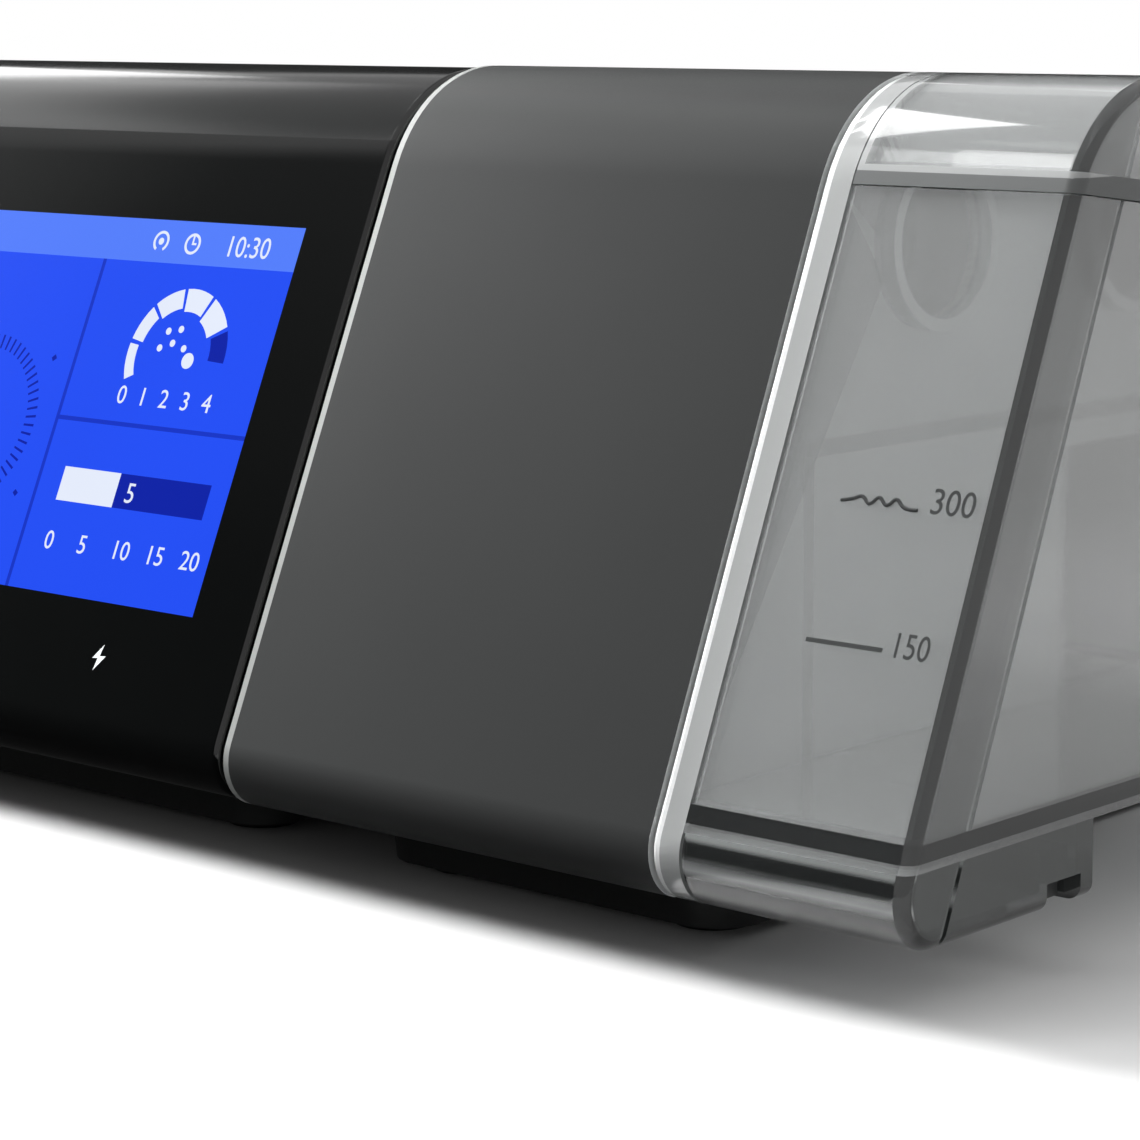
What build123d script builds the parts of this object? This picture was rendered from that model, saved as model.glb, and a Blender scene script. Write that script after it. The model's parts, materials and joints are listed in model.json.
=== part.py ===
from build123d import *
import os
from math import cos, radians, sin, tan

os.makedirs("parts", exist_ok=True)

# Bedside breathing machine with a side water chamber.  Millimetres and degrees.
# Origin: on the table, centred under the machine.  +X to the chamber, +Y to the back, +Z up.

# ---------------------------------------------------------------- driving dimensions
WIDTH = 230.0            # left end of the display unit to the chamber's right face
BODY_DEPTH = 126.0       # toe to back
HEIGHT = 99.2            # table to the highest line of the top, just behind the front
UNDERCUT = 8.0           # table to the underside of the shells
LEAN = 23.2              # the front leans back from upright
TOP_FALL = 2.0           # the top falls to the back
TOP_RADIUS = 20.5        # front face into top
TOE_RADIUS = 6.2         # front face into underside
BACK_RADIUS = 8.0        # top into back
HEEL_RADIUS = 2.0        # back into underside
WALL = 2.5               # moulded housing wall

CHAMBER_WIDTH = 34.5     # clear end piece, as seen from the front
COVER_WIDTH = 68.3       # satin humidifier cover
CHAMBER_GAP = 0.4        # cover to chamber
UNIT_GAP = 1.2           # display unit to cover
RECESS = 0.3             # the display unit lies this far inside the cover's outline
END_RADIUS = 4.0         # left end of the display unit
SEAM_RADIUS = 0.9        # its edge beside the cover

SCREEN_WIDTH = 70.08     # 3.5 inch 4:3 panel
SCREEN_HEIGHT = 52.56
SCREEN_MARGIN = 12.1     # screen to the cover's left edge
SCREEN_DROP = 69.2       # highest line down to the screen's lower edge
FASCIA_DROP = 9.4        # highest line down to the line where fascia meets housing
FASCIA_WRAP = 7.0        # fascia's depth round the left end

KNOB_RADIUS = 15.0
KNOB_HEIGHT = 11.0
KNOB_INSET = 22.0        # knob's axis to the left end
KNOB_RISE = 28.0         # knob's axis above the screen's lower edge, along the front
KNOB_GAP = 1.2           # under the knob
KNOB_TRAVEL = 0.8
KEY_RADIUS = 6.0         # round keys above and below the knob
KEY_PITCH = 25.0         # key to knob, along the front
KEY_TRAVEL = 0.6
KEY_PROUD = 1.0
START_RADIUS = 9.0       # start key on the top
START_TRAVEL = 0.7
START_PROUD = 0.2
KEY_CLEARANCE = 0.3

PORT_DROP = 20.2         # highest line down to the axis of both air ports
INLET_Y = -22.0          # blower side port
OUTLET_Y = 18.0          # hose side port
TUBE_RADIUS = 10.8       # port tube, outside
TUBE_WALL = 1.5
DUCT_RADIUS = 12.3
DUCT_WALL = 2.0
OUTLET_INSET = 25.5      # rear spigot's axis to the docking wall
OUTLET_REACH = 20.0      # spigot beyond the back
OUTLET_RADIUS = 11.0     # 22 mm hose fitting
OUTLET_WALL = 1.7

CLEAR_WALL = 2.2         # clear chamber walls
CORNER_RADIUS = 1.8      # chamber's right-hand edges
RIM_WIDTH = 4.0          # chamber's left rim
RIM_WALL = 1.8           # chamber's left wall
RIM_RADIUS = 0.8         # edge of the rim beside the cover
FLOOR_TOP = 20.0         # water side of the chamber's floor
FLOOR_THICKNESS = 3.0
SKIRT_DEPTH = 36.1       # skirt along the right side, from the toe
LID_DROP = 11.3          # highest line down to the lid seal's middle at the front face
LID_SLOPE = 6.3          # the seal falls to the back
SEAL_HEIGHT = 2.6
SEAL_WIDTH = 0.8         # seal against the rim
SEAL_CLEARANCE = 0.2
TONGUE_LENGTH = 55.5     # heated part of the tub under the cover
TONGUE_DROP = 22.0       # axis of the air ports down to the tongue's top
TONGUE_WALL = 2.0
BAY_CLEARANCE = 1.2
DOCK_SETBACK = 9.0       # docking wall behind the cover's right edge

PLATE_LENGTH = 46.0      # heated plate, X
PLATE_DEPTH = 74.0       # heated plate, Y
PLATE_Y = -3.0           # middle of the heated plate
PLATE_MARGIN = 6.0       # the tongue reaches this far past the plate, front and back
PLATE_INSET = 5.0        # plate to the tongue's left end
PLATE_CORNER = 5.0
HEATER_TRAVEL = 1.5
SLIDE_CLEARANCE = 0.3

FOOT_RADIUS = 5.0
FOOT_BASE = 1.5          # plinths clear the table by this
SHAFT_CLEARANCE = 0.05

# ---------------------------------------------------------------- places that follow from them
X_LEFT, X_RIGHT = -WIDTH / 2, WIDTH / 2
X_SEAM = X_RIGHT - CHAMBER_WIDTH          # cover's right edge
X_COVER = X_SEAM - COVER_WIDTH            # cover's left edge
X_UNIT = X_COVER - UNIT_GAP               # display unit's right end
X_RIM = X_SEAM + CHAMBER_GAP              # chamber's left face
X_DOCK = X_SEAM - DOCK_SETBACK            # docking wall's right face
OUTLET_X = X_DOCK - OUTLET_INSET
Y_TOE = -(BODY_DEPTH + OUTLET_REACH) / 2
Y_BACK = Y_TOE + BODY_DEPTH
TOE_Z = UNDERCUT + TOE_RADIUS
UNIT_FLOOR = UNDERCUT + RECESS            # underside of the display unit
SCREEN_BOTTOM = HEIGHT - SCREEN_DROP
FASCIA_TOP = HEIGHT - FASCIA_DROP
LID_HEIGHT = HEIGHT - LID_DROP
PORT_HEIGHT = HEIGHT - PORT_DROP
TONGUE_TOP = PORT_HEIGHT - TONGUE_DROP
TONGUE_FRONT = PLATE_Y - PLATE_DEPTH / 2 - PLATE_MARGIN
TONGUE_BACK = PLATE_Y + PLATE_DEPTH / 2 + PLATE_MARGIN
SIDE = 400.0                              # larger than anything here, for cutting
ON_BASE = (Align.CENTER, Align.CENTER, Align.MIN)


# ---------------------------------------------------------------- shared shapes
def front_y(z, inset=0.0):
    """Y of the leaning front face at height z, moved inwards by inset."""
    lean = radians(LEAN)
    foot = Y_TOE + TOE_RADIUS - TOE_RADIUS / cos(lean)
    return foot + (z - TOE_Z) * tan(lean) + inset / cos(lean)


def top_z(y, inset=0.0):
    """Height at y of the top, a plane that leaves the front's rounding just behind its highest line."""
    fall = radians(TOP_FALL)
    middle_z = HEIGHT - TOP_RADIUS
    middle_y = front_y(middle_z, TOP_RADIUS)
    return middle_z + (TOP_RADIUS - inset) / cos(fall) - (y - middle_y) * tan(fall)


def wedge(x0, x1, inset=0.0):
    """The machine's outline, moved inwards by inset, from x0 to x1."""
    low, back = UNDERCUT + inset, Y_BACK - inset
    fall, lean = tan(radians(TOP_FALL)), tan(radians(LEAN))
    high = (top_z(0, inset) - fall * front_y(0, inset)) / (1 + fall * lean)   # front and top would meet here
    corners = [(front_y(low, inset), low), (front_y(high, inset), high),
               (back, top_z(back, inset)), (back, low)]
    radii = [max(r - inset, 0.0) for r in (TOE_RADIUS, TOP_RADIUS, BACK_RADIUS, HEEL_RADIUS)]
    outline = FilletPolyline(*corners, radius=radii, close=True)
    return extrude(Plane.YZ.offset(x0) * make_face(outline), amount=x1 - x0, dir=(1, 0, 0))


def prism(points, x0, x1):
    """A polygon of (y, z) points, from x0 to x1."""
    outline = Polyline(*points, close=True)
    return extrude(Plane.YZ.offset(x0) * make_face(outline), amount=x1 - x0, dir=(1, 0, 0))


def block(x0, x1, y0, y1, z0, z1, radius=0.0):
    """A box between two corners; radius rounds its upright edges."""
    where = Pos((x0 + x1) / 2, (y0 + y1) / 2, z0)
    if radius:
        return where * extrude(RectangleRounded(x1 - x0, y1 - y0, radius), amount=z1 - z0)
    return where * Box(x1 - x0, y1 - y0, z1 - z0, align=ON_BASE)


def rod(start, way, radius, length):
    """A cylinder that leaves start along way."""
    return Plane(origin=start, z_dir=way) * Cylinder(radius, length, align=ON_BASE)


def tube(start, way, radius, wall, length):
    return rod(start, way, radius, length) - rod(start, way, radius - wall, length)


def above(height):
    """Everything above the lid's sloping parting plane, raised by height."""
    y0, y1 = Y_TOE - SIDE, Y_BACK + SIDE
    return prism([(y0, parting_z(y0) + height), (y1, parting_z(y1) + height), (y1, SIDE * 2), (y0, SIDE * 2)],
                 -SIDE, SIDE)


def parting_z(y):
    return LID_HEIGHT - tan(radians(LID_SLOPE)) * (y - front_y(LID_HEIGHT))


def save(node, shape):
    export_step(shape, f"parts/{node}.step")


def face_edges(shape, axis, last):
    """Edges round the first or last flat face of shape along axis."""
    return shape.faces().sort_by(axis)[-1 if last else 0].edges()


ALONG_X, ALONG_Y, ALONG_Z = (1, 0, 0), (0, 1, 0), (0, 0, 1)
normal = (0, -cos(radians(LEAN)), sin(radians(LEAN)))
X_SCREEN = X_COVER - SCREEN_MARGIN - SCREEN_WIDTH / 2
# Fascia's own plane: x along the machine, y up the front, z out of it, from the screen's lower edge.
fascia_plane = Plane(origin=(0, front_y(SCREEN_BOTTOM, RECESS), SCREEN_BOTTOM), x_dir=ALONG_X, z_dir=normal)


def on_fascia(x, rise, depth=0.0):
    return fascia_plane * Pos(x, rise, depth)


def fascia_rod(x, rise, depth, radius, length):
    return on_fascia(x, rise, depth) * Cylinder(radius, length, align=ON_BASE)


def fascia_block(x, rise, width, height, depth, thickness, radius=0.0):
    """A slab on the fascia's plane, centred at (x, rise), from depth outwards by thickness."""
    outline = RectangleRounded(width, height, radius) if radius else Rectangle(width, height)
    return on_fascia(x, rise, depth) * extrude(outline, amount=thickness)


# ---------------------------------------------------------------- display unit: shells
KNOB_X = X_LEFT + KNOB_INSET
HOME_RISE, RAMP_RISE = KNOB_RISE + KEY_PITCH, KNOB_RISE - KEY_PITCH
BOARD_DEPTH = -12.0      # front of the control board, behind the fascia's face
BOARD_THICKNESS = 1.6
POST_RADIUS = 3.5
START_Y = 10.0
START_STEM = 10.0
SWITCH_GAP = 0.2         # actuator to a fully pressed stem
SWITCH_HEIGHT = 3.3      # with its actuator
# Start key's own plane on the top, and the height of the shelf that carries its switch.
top_normal = (0, sin(radians(TOP_FALL)), cos(radians(TOP_FALL)))
start_face = top_z(START_Y, RECESS)
start_plane = Plane(origin=(KNOB_X, START_Y, start_face), x_dir=ALONG_X, z_dir=top_normal)
start_actuator = start_face - START_STEM - START_TRAVEL - SWITCH_GAP
SHELF_TOP = start_actuator - SWITCH_HEIGHT

unit = wedge(X_LEFT, X_UNIT, RECESS)
unit = fillet(face_edges(unit, Axis.X, last=False), END_RADIUS)
unit = fillet(face_edges(unit, Axis.X, last=True), SEAM_RADIUS)
unit -= wedge(X_LEFT + WALL, X_UNIT - WALL, RECESS + WALL)
UNIT_RIM = 3.0           # ledge of the underside round the base plate
UNIT_OPENING = (X_LEFT + WALL + UNIT_RIM, X_UNIT - WALL - UNIT_RIM,
                Y_TOE + TOE_RADIUS + WALL + UNIT_RIM, Y_BACK - RECESS - WALL - UNIT_RIM)
unit -= block(*UNIT_OPENING, UNDERCUT - 1, UNIT_FLOOR + WALL + 1)

wrap_low = front_y(UNDERCUT, RECESS + FASCIA_WRAP)
wrap_high = front_y(FASCIA_TOP, RECESS + FASCIA_WRAP)
front_zone = prism([(Y_TOE - 5, 0), (wrap_low, 0), (wrap_low, UNDERCUT), (wrap_high, FASCIA_TOP),
                    (Y_TOE - 5, FASCIA_TOP)], X_LEFT - 5, X_UNIT + 5)

# Fascia: gloss front with the screen's window, the knob's and keys' holes, and posts for the control board.
fascia = unit & front_zone
fascia -= fascia_block(X_SCREEN, SCREEN_HEIGHT / 2, SCREEN_WIDTH, SCREEN_HEIGHT, -WALL - 1, WALL + 2)
for rise in (HOME_RISE, RAMP_RISE):
    fascia -= fascia_rod(KNOB_X, rise, -WALL - 1, KEY_RADIUS + KEY_CLEARANCE, WALL + 2)
ENCODER_NOSE = 3.5       # encoder's bushing, through the fascia
fascia -= fascia_rod(KNOB_X, KNOB_RISE, -WALL - 1, ENCODER_NOSE + 0.1, WALL + 2)
BOARD_WIDTH, BOARD_EDGE = 34.0, 5.0   # edge beyond the outer keys' axes
BOARD_HEIGHT = 2 * (KEY_PITCH + BOARD_EDGE)
POST_INSET = 3.5
post_x, post_rise = BOARD_WIDTH / 2 - POST_INSET, BOARD_HEIGHT / 2 - POST_INSET
post_places = [(KNOB_X + side * post_x, KNOB_RISE + end * post_rise) for side in (-1, 1) for end in (-1, 1)]
for x, rise in post_places:
    fascia += fascia_rod(x, rise, BOARD_DEPTH, 2.5, -BOARD_DEPTH - WALL / 2)
FRONT_BOSS_Y = wrap_low + 3.0
BOSS_INSET = 5.5         # the bosses' axes to the end walls' inner faces
for x in (X_LEFT + WALL + BOSS_INSET, X_UNIT - WALL - BOSS_INSET):
    fascia += block(x - POST_RADIUS, x + POST_RADIUS, front_y(UNIT_FLOOR + WALL + 8, RECESS + WALL / 2),
                    FRONT_BOSS_Y + POST_RADIUS, UNIT_FLOOR + WALL, UNIT_FLOOR + WALL + 8)
save("display_fascia", fascia)

save("screen_window", fascia_block(X_SCREEN, SCREEN_HEIGHT / 2, SCREEN_WIDTH, SCREEN_HEIGHT, -WALL, WALL))
LCD_BORDER = 3.4
lcd = fascia_block(X_SCREEN, SCREEN_HEIGHT / 2 - 1, SCREEN_WIDTH + 2 * LCD_BORDER,
                   SCREEN_HEIGHT + 3 * LCD_BORDER, -WALL - 4.2, 4.2, 1.0)
lcd += fascia_block(X_SCREEN, SCREEN_HEIGHT / 2, 30, 22, -WALL - 5.4, 1.2)
save("lcd_module", lcd)

# Housing: top, back, left end and the wall towards the humidifier.
FILTER_X0, FILTER_X1, FILTER_Z0, FILTER_Z1 = X_LEFT + 13, X_LEFT + 51, 22.0, 64.0
FILTER_AXIS_Y, FILTER_AXIS_Z = Y_BACK - RECESS - WALL / 2, FILTER_Z0 + 1.5
DOOR_Y0, DOOR_Y1, DOOR_Z0, DOOR_Z1 = -12.0, 14.0, 30.0, 46.0
DOOR_AXIS_X, DOOR_AXIS_Z = X_LEFT + WALL / 2, DOOR_Z0 + 1.5
PIN_RADIUS = 1.0
PIN_REACH = 2.0
SOCKET_INSET = 63.0                          # left end to the mains socket's middle
SOCKET_X, SOCKET_Z, SOCKET_WIDTH, SOCKET_HEIGHT = X_LEFT + SOCKET_INSET, 24.0, 16.0, 12.0
HINGE_GAP = 0.4

housing = unit - front_zone
housing -= block(FILTER_X0, FILTER_X1, Y_BACK - 8, Y_BACK + 1, FILTER_Z0, FILTER_Z1)
FRAME_WALL = 2.0         # frame round the filter
filter_frame = block(FILTER_X0 - FRAME_WALL, FILTER_X1 + FRAME_WALL, Y_BACK - RECESS - 12,
                     Y_BACK - RECESS - WALL, FILTER_Z0 - FRAME_WALL, FILTER_Z1 + FRAME_WALL)
housing += filter_frame - block(FILTER_X0, FILTER_X1, Y_BACK - 20, Y_BACK, FILTER_Z0, FILTER_Z1)
housing -= rod((FILTER_X0 - PIN_REACH, FILTER_AXIS_Y, FILTER_AXIS_Z), ALONG_X, PIN_RADIUS + SHAFT_CLEARANCE,
               FILTER_X1 - FILTER_X0 + 2 * PIN_REACH)
housing -= block(X_LEFT - 1, X_LEFT + WALL + 1, DOOR_Y0, DOOR_Y1, DOOR_Z0, DOOR_Z1)
housing -= rod((DOOR_AXIS_X, DOOR_Y0 - PIN_REACH, DOOR_AXIS_Z), ALONG_Y, PIN_RADIUS + SHAFT_CLEARANCE,
               DOOR_Y1 - DOOR_Y0 + 2 * PIN_REACH)
housing -= block(SOCKET_X - SOCKET_WIDTH / 2, SOCKET_X + SOCKET_WIDTH / 2, Y_BACK - 8, Y_BACK + 1,
                 SOCKET_Z - SOCKET_HEIGHT / 2, SOCKET_Z + SOCKET_HEIGHT / 2)
housing -= start_plane * Cylinder(START_RADIUS + KEY_CLEARANCE, 20)
housing -= rod((X_UNIT - 2 * WALL, INLET_Y, PORT_HEIGHT), ALONG_X, DUCT_RADIUS + KEY_CLEARANCE, 3 * WALL)
SHELF_WALL = 2.0
SHELF = 8.0              # half the shelf's depth
housing += block(X_LEFT + WALL / 2, KNOB_X + 6, START_Y - SHELF, START_Y + SHELF,
                 SHELF_TOP - SHELF_WALL, SHELF_TOP)
rear_posts = [(X_LEFT + WALL + 5, Y_BACK - WALL - 6), (X_UNIT - WALL - 5, Y_BACK - WALL - 6)]
for x, y in rear_posts:
    post = (x - POST_RADIUS, x + POST_RADIUS, y - POST_RADIUS, y + POST_RADIUS)
    housing += block(*post, UNIT_FLOOR + WALL, HEIGHT - 8)
    housing += block(x - 1, x + 1, y, Y_BACK - RECESS - WALL / 2, UNIT_FLOOR + WALL, HEIGHT - 14)
save("main_housing", housing)


# ---------------------------------------------------------------- plinths, feet and screws
def plinth(x0, x1, y0, y1, top, plate):
    """A drafted plinth under a base plate of outline (x0, x1, y0, y1)."""
    width, depth = x1 - x0, y1 - y0
    place = Plane(origin=((x0 + x1) / 2, (y0 + y1) / 2, top), z_dir=(0, 0, -1))
    body = extrude(place * RectangleRounded(width, depth, 7), amount=top - FOOT_BASE, taper=6)
    return body + block(*plate, top, top + WALL)


def corners(x0, x1, y0, y1, inset):
    return [(x, y) for x in (x0 + inset, x1 - inset) for y in (y0 + inset, y1 - inset)]


FIT = 0.2
unit_plate = (UNIT_OPENING[0] + FIT, UNIT_OPENING[1] - FIT, UNIT_OPENING[2] + FIT, UNIT_OPENING[3] - FIT)
PLINTH_FRONT = Y_TOE + 14.5
PLINTH_BACK = Y_BACK - 9.0
unit_plinth = (X_LEFT + 11, X_COVER - 8, PLINTH_FRONT, PLINTH_BACK)
cover_plinth = (X_COVER + 11, X_SEAM - 0.5, PLINTH_FRONT, PLINTH_BACK)
unit_screws = corners(*unit_plinth, 20)
cover_screws = corners(*cover_plinth, 20)
feet_places = corners(*unit_plinth, 9) + corners(*cover_plinth, 9)
FOOT_SINK = 1.0          # depth of a foot's seat in its plinth
HEAD_RADIUS, SHANK_RADIUS, HEAD_SINK = 3.0, 1.5, 2.6


def bored(shape, screws, feet):
    """Cut seats for feet and stepped holes for screws into a plinth."""
    for x, y in feet:
        shape -= rod((x, y, FOOT_BASE - 1), ALONG_Z, FOOT_RADIUS + 0.1, FOOT_SINK + 1)
    for x, y in screws:
        shape -= rod((x, y, 0), ALONG_Z, HEAD_RADIUS + 0.3, FOOT_BASE + HEAD_SINK)
        shape -= rod((x, y, 0), ALONG_Z, SHANK_RADIUS + 0.1, UNDERCUT + 2 * WALL)
    return shape


main_base = plinth(*unit_plinth, UNIT_FLOOR, unit_plate)
save("main_base", bored(main_base, unit_screws, feet_places[:4]))

HEATER_X = X_RIM - TONGUE_LENGTH + PLATE_INSET + PLATE_LENGTH / 2     # middle of the heated plate
HEATER_Y = PLATE_Y
FLOOR_BOTTOM = FLOOR_TOP - FLOOR_THICKNESS
PLATE_PROUD = 0.4        # heated plate below the chamber's floor
heater_top = FLOOR_BOTTOM - PLATE_PROUD - SLIDE_CLEARANCE
RUNNER_TOP = FLOOR_BOTTOM - SLIDE_CLEARANCE
BASE_TOP = UNDERCUT + WALL
COVER_RIM = 4.0
cover_opening = (X_COVER + COVER_RIM, X_SEAM + 1, Y_TOE + TOE_RADIUS + 5, Y_BACK - WALL - COVER_RIM)
cover_plate = (cover_opening[0] + FIT, X_SEAM - 0.5, cover_opening[2] + FIT, cover_opening[3] - FIT)
SPRING_RADIUS = 3.5
spring_places = [(HEATER_X + i * (PLATE_LENGTH / 2 - 8), HEATER_Y + j * (PLATE_DEPTH / 2 - 8))
                 for i in (-1, 1) for j in (-1, 1)]

humidifier_base = plinth(*cover_plinth, UNDERCUT, cover_plate)
RUNNER_X0 = X_RIM - TONGUE_LENGTH - 1
for y in (TONGUE_FRONT + 2.5, TONGUE_BACK - 2.5):
    humidifier_base += block(RUNNER_X0, X_SEAM - 0.5, y - 1.5, y + 1.5, BASE_TOP, RUNNER_TOP)
# Lip across the bay's mouth, lower than the runners so that the heated plate passes over it.
LIP_X0 = X_SEAM - 3.0
LIP_TOP = heater_top - 0.1
LEVER_Y = Y_TOE + 30.3                   # middle of the release lever
LEVER_WIDTH = 5.4
CATCH_WIDTH = LEVER_WIDTH + 1.4
CATCH_BAR = 0.8
catch = (LEVER_Y - CATCH_WIDTH / 2, LEVER_Y + CATCH_WIDTH / 2)
humidifier_base -= block(LIP_X0 - 5, X_SEAM + 1, *catch, BASE_TOP, RUNNER_TOP + 1)
humidifier_base += block(LIP_X0, X_SEAM - 0.5, catch[0] - 2, TONGUE_BACK - 2.5, BASE_TOP, LIP_TOP)
humidifier_base -= block(LIP_X0 - 1, X_SEAM + 1, *catch, BASE_TOP, LIP_TOP - CATCH_BAR)
save("humidifier_base", bored(humidifier_base, cover_screws, feet_places[4:]))


def foot(x, y):
    disc = rod((x, y, 0), ALONG_Z, FOOT_RADIUS, FOOT_BASE + FOOT_SINK)
    return fillet(face_edges(disc, Axis.Z, last=False), 0.5)


save("rubber_feet", Compound([foot(x, y) for x, y in feet_places]))


def screw(x, y, tip):
    seat = FOOT_BASE + HEAD_SINK
    head = rod((x, y, seat - 2.0), ALONG_Z, HEAD_RADIUS, 2.0)
    head = fillet(face_edges(head, Axis.Z, last=False), 0.8)
    head -= Pos(x, y, seat - 2.0) * Box(3.4, 0.7, 1.6)
    head -= Pos(x, y, seat - 2.0) * Box(0.7, 3.4, 1.6)
    return head + rod((x, y, seat), ALONG_Z, SHANK_RADIUS, tip - seat)


screws = [screw(x, y, UNIT_FLOOR + WALL - 0.3) for x, y in unit_screws]
screws += [screw(x, y, BASE_TOP - 0.3) for x, y in cover_screws]
save("base_screws", Compound(screws))

# ---------------------------------------------------------------- humidifier: cover, trim, bay
TRIM_WIDTH, TRIM_DEPTH, TRIM_BEVEL = 1.2, 1.6, 0.3
trim = wedge(X_COVER, X_COVER + TRIM_WIDTH)
trim = chamfer(face_edges(trim, Axis.X, last=False), TRIM_BEVEL)
trim -= wedge(X_COVER - 1, X_COVER + TRIM_WIDTH + 1, TRIM_DEPTH)
save("cover_edge_trim", trim)

GASKET_INSET, GASKET_WALL = RECESS + 1.6, 2.0
gasket = wedge(X_UNIT, X_COVER, GASKET_INSET)
save("seam_gasket", gasket - wedge(X_UNIT - 1, X_COVER + 1, GASKET_INSET + GASKET_WALL))

COVER_END = 2.0          # cover's left wall
cover_left = X_COVER + TRIM_WIDTH
cover = wedge(cover_left, X_SEAM) - wedge(cover_left + COVER_END, X_SEAM + 1, WALL)
cover += wedge(X_COVER, cover_left, TRIM_DEPTH)
cover -= block(*cover_opening, UNDERCUT - 1, BASE_TOP)
PORT_GAP = 0.3           # pipes through the shells
cover -= rod((X_COVER - 1, INLET_Y, PORT_HEIGHT), ALONG_X, DUCT_RADIUS + PORT_GAP, COVER_END + TRIM_WIDTH + 2)
cover -= rod((OUTLET_X, Y_BACK - 2 * WALL, PORT_HEIGHT), ALONG_Y, OUTLET_RADIUS + PORT_GAP, 3 * WALL)
save("humidifier_cover", cover)

# Docking bulkhead and the liner of the bay that takes the tub's tongue.
DOCK_WALL = 2.5
BAY_WALL = 2.0
X_TONGUE = X_RIM - TONGUE_LENGTH
bay_left, bay_front = X_TONGUE - BAY_CLEARANCE, TONGUE_FRONT - BAY_CLEARANCE
bay_back, bay_top = TONGUE_BACK + BAY_CLEARANCE, TONGUE_TOP + BAY_CLEARANCE
bulkhead = wedge(X_DOCK - DOCK_WALL, X_DOCK, WALL + 0.3) & block(0, SIDE, -SIDE, SIDE, BASE_TOP, SIDE)
liner = block(bay_left - BAY_WALL, X_DOCK, bay_front - BAY_WALL, bay_back + BAY_WALL,
              BASE_TOP + 0.2, bay_top + BAY_WALL)
docking_bay = bulkhead + liner - block(bay_left, SIDE, bay_front, bay_back, 0, bay_top)
SEAL_RADIUS = 13.0
for y in (INLET_Y, OUTLET_Y):
    docking_bay -= rod((X_DOCK - DOCK_WALL - 1, y, PORT_HEIGHT), ALONG_X, SEAL_RADIUS, DOCK_WALL + 2)
save("docking_bay", docking_bay)

SEAL_LIP = 0.25          # port seal to port tube, radial
seals = []
for y in (INLET_Y, OUTLET_Y):
    start = (X_DOCK - DOCK_WALL - 0.5, y, PORT_HEIGHT)
    seals.append(tube(start, ALONG_X, SEAL_RADIUS, SEAL_RADIUS - TUBE_RADIUS - SEAL_LIP, DOCK_WALL + 0.5))
save("port_seals", Compound(seals))

# ---------------------------------------------------------------- air path
BLOWER_INSET, BLOWER_OFFSET = 63.0, 19.5     # fan's axis from the left end, and behind the duct's axis
BLOWER_X, BLOWER_Y = X_LEFT + BLOWER_INSET, INLET_Y + BLOWER_OFFSET
VOLUTE_RADIUS, VOLUTE_HEIGHT, VOLUTE_WALL = 31.0, 26.0, 2.0
IMPELLER_RADIUS, IMPELLER_HEIGHT, BLADES = 24.0, 13.0, 11
VOLUTE_EXIT = BLOWER_X + VOLUTE_RADIUS + VOLUTE_WALL
HOUSE_GAP = 0.3          # loose pieces to the housing
volute_low = PORT_HEIGHT - VOLUTE_HEIGHT / 2


def snail(wall):
    """Scroll of the blower with its straight exit, moved inwards by wall."""
    drum = rod((BLOWER_X, BLOWER_Y, volute_low + wall), ALONG_Z, VOLUTE_RADIUS - wall,
               VOLUTE_HEIGHT - 2 * wall)
    reach = VOLUTE_EXIT - BLOWER_X + (1 if wall else 0)
    return drum + rod((BLOWER_X, INLET_Y, PORT_HEIGHT), ALONG_X, DUCT_RADIUS - wall, reach)


MOTOR_SHAFT = 1.5
EYE_RADIUS = 13.0
volute = snail(0) - snail(VOLUTE_WALL)
volute -= rod((BLOWER_X, BLOWER_Y, PORT_HEIGHT), ALONG_Z, EYE_RADIUS, VOLUTE_HEIGHT)
volute -= rod((BLOWER_X, BLOWER_Y, volute_low - 1), ALONG_Z, MOTOR_SHAFT + 0.5, 2 * VOLUTE_WALL)
upper_half = block(-SIDE, SIDE, -SIDE, SIDE, PORT_HEIGHT, SIDE)
save("volute_upper", volute & upper_half)
save("volute_lower", volute - upper_half)

HUB_RADIUS, WHEEL_WALL, BLADE_WALL = 6.0, 1.2, 1.0
BLADE_BOW, BLADE_SWEEP = 4.5, 5.5            # how far a blade's middle and tip lie off its radius
impeller_low = PORT_HEIGHT - IMPELLER_HEIGHT / 2
hub = rod((BLOWER_X, BLOWER_Y, impeller_low), ALONG_Z, HUB_RADIUS, IMPELLER_HEIGHT)
disc = rod((BLOWER_X, BLOWER_Y, impeller_low), ALONG_Z, IMPELLER_RADIUS, WHEEL_WALL)
blade_root, blade_tip = HUB_RADIUS - BLADE_WALL, IMPELLER_RADIUS - BLADE_WALL / 2
blade_curve = ThreePointArc((blade_root, 0), ((blade_root + blade_tip) / 2, BLADE_BOW),
                            (blade_tip, BLADE_SWEEP))
blade = extrude(trace(blade_curve, line_width=BLADE_WALL), amount=IMPELLER_HEIGHT - WHEEL_WALL)
impeller = hub + disc
for turn in range(BLADES):
    impeller += Pos(BLOWER_X, BLOWER_Y, impeller_low + WHEEL_WALL) * Rot(0, 0, turn * 360 / BLADES) * blade
impeller -= rod((BLOWER_X, BLOWER_Y, impeller_low - 1), ALONG_Z, MOTOR_SHAFT, IMPELLER_HEIGHT + 2)
save("impeller", impeller)

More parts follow.
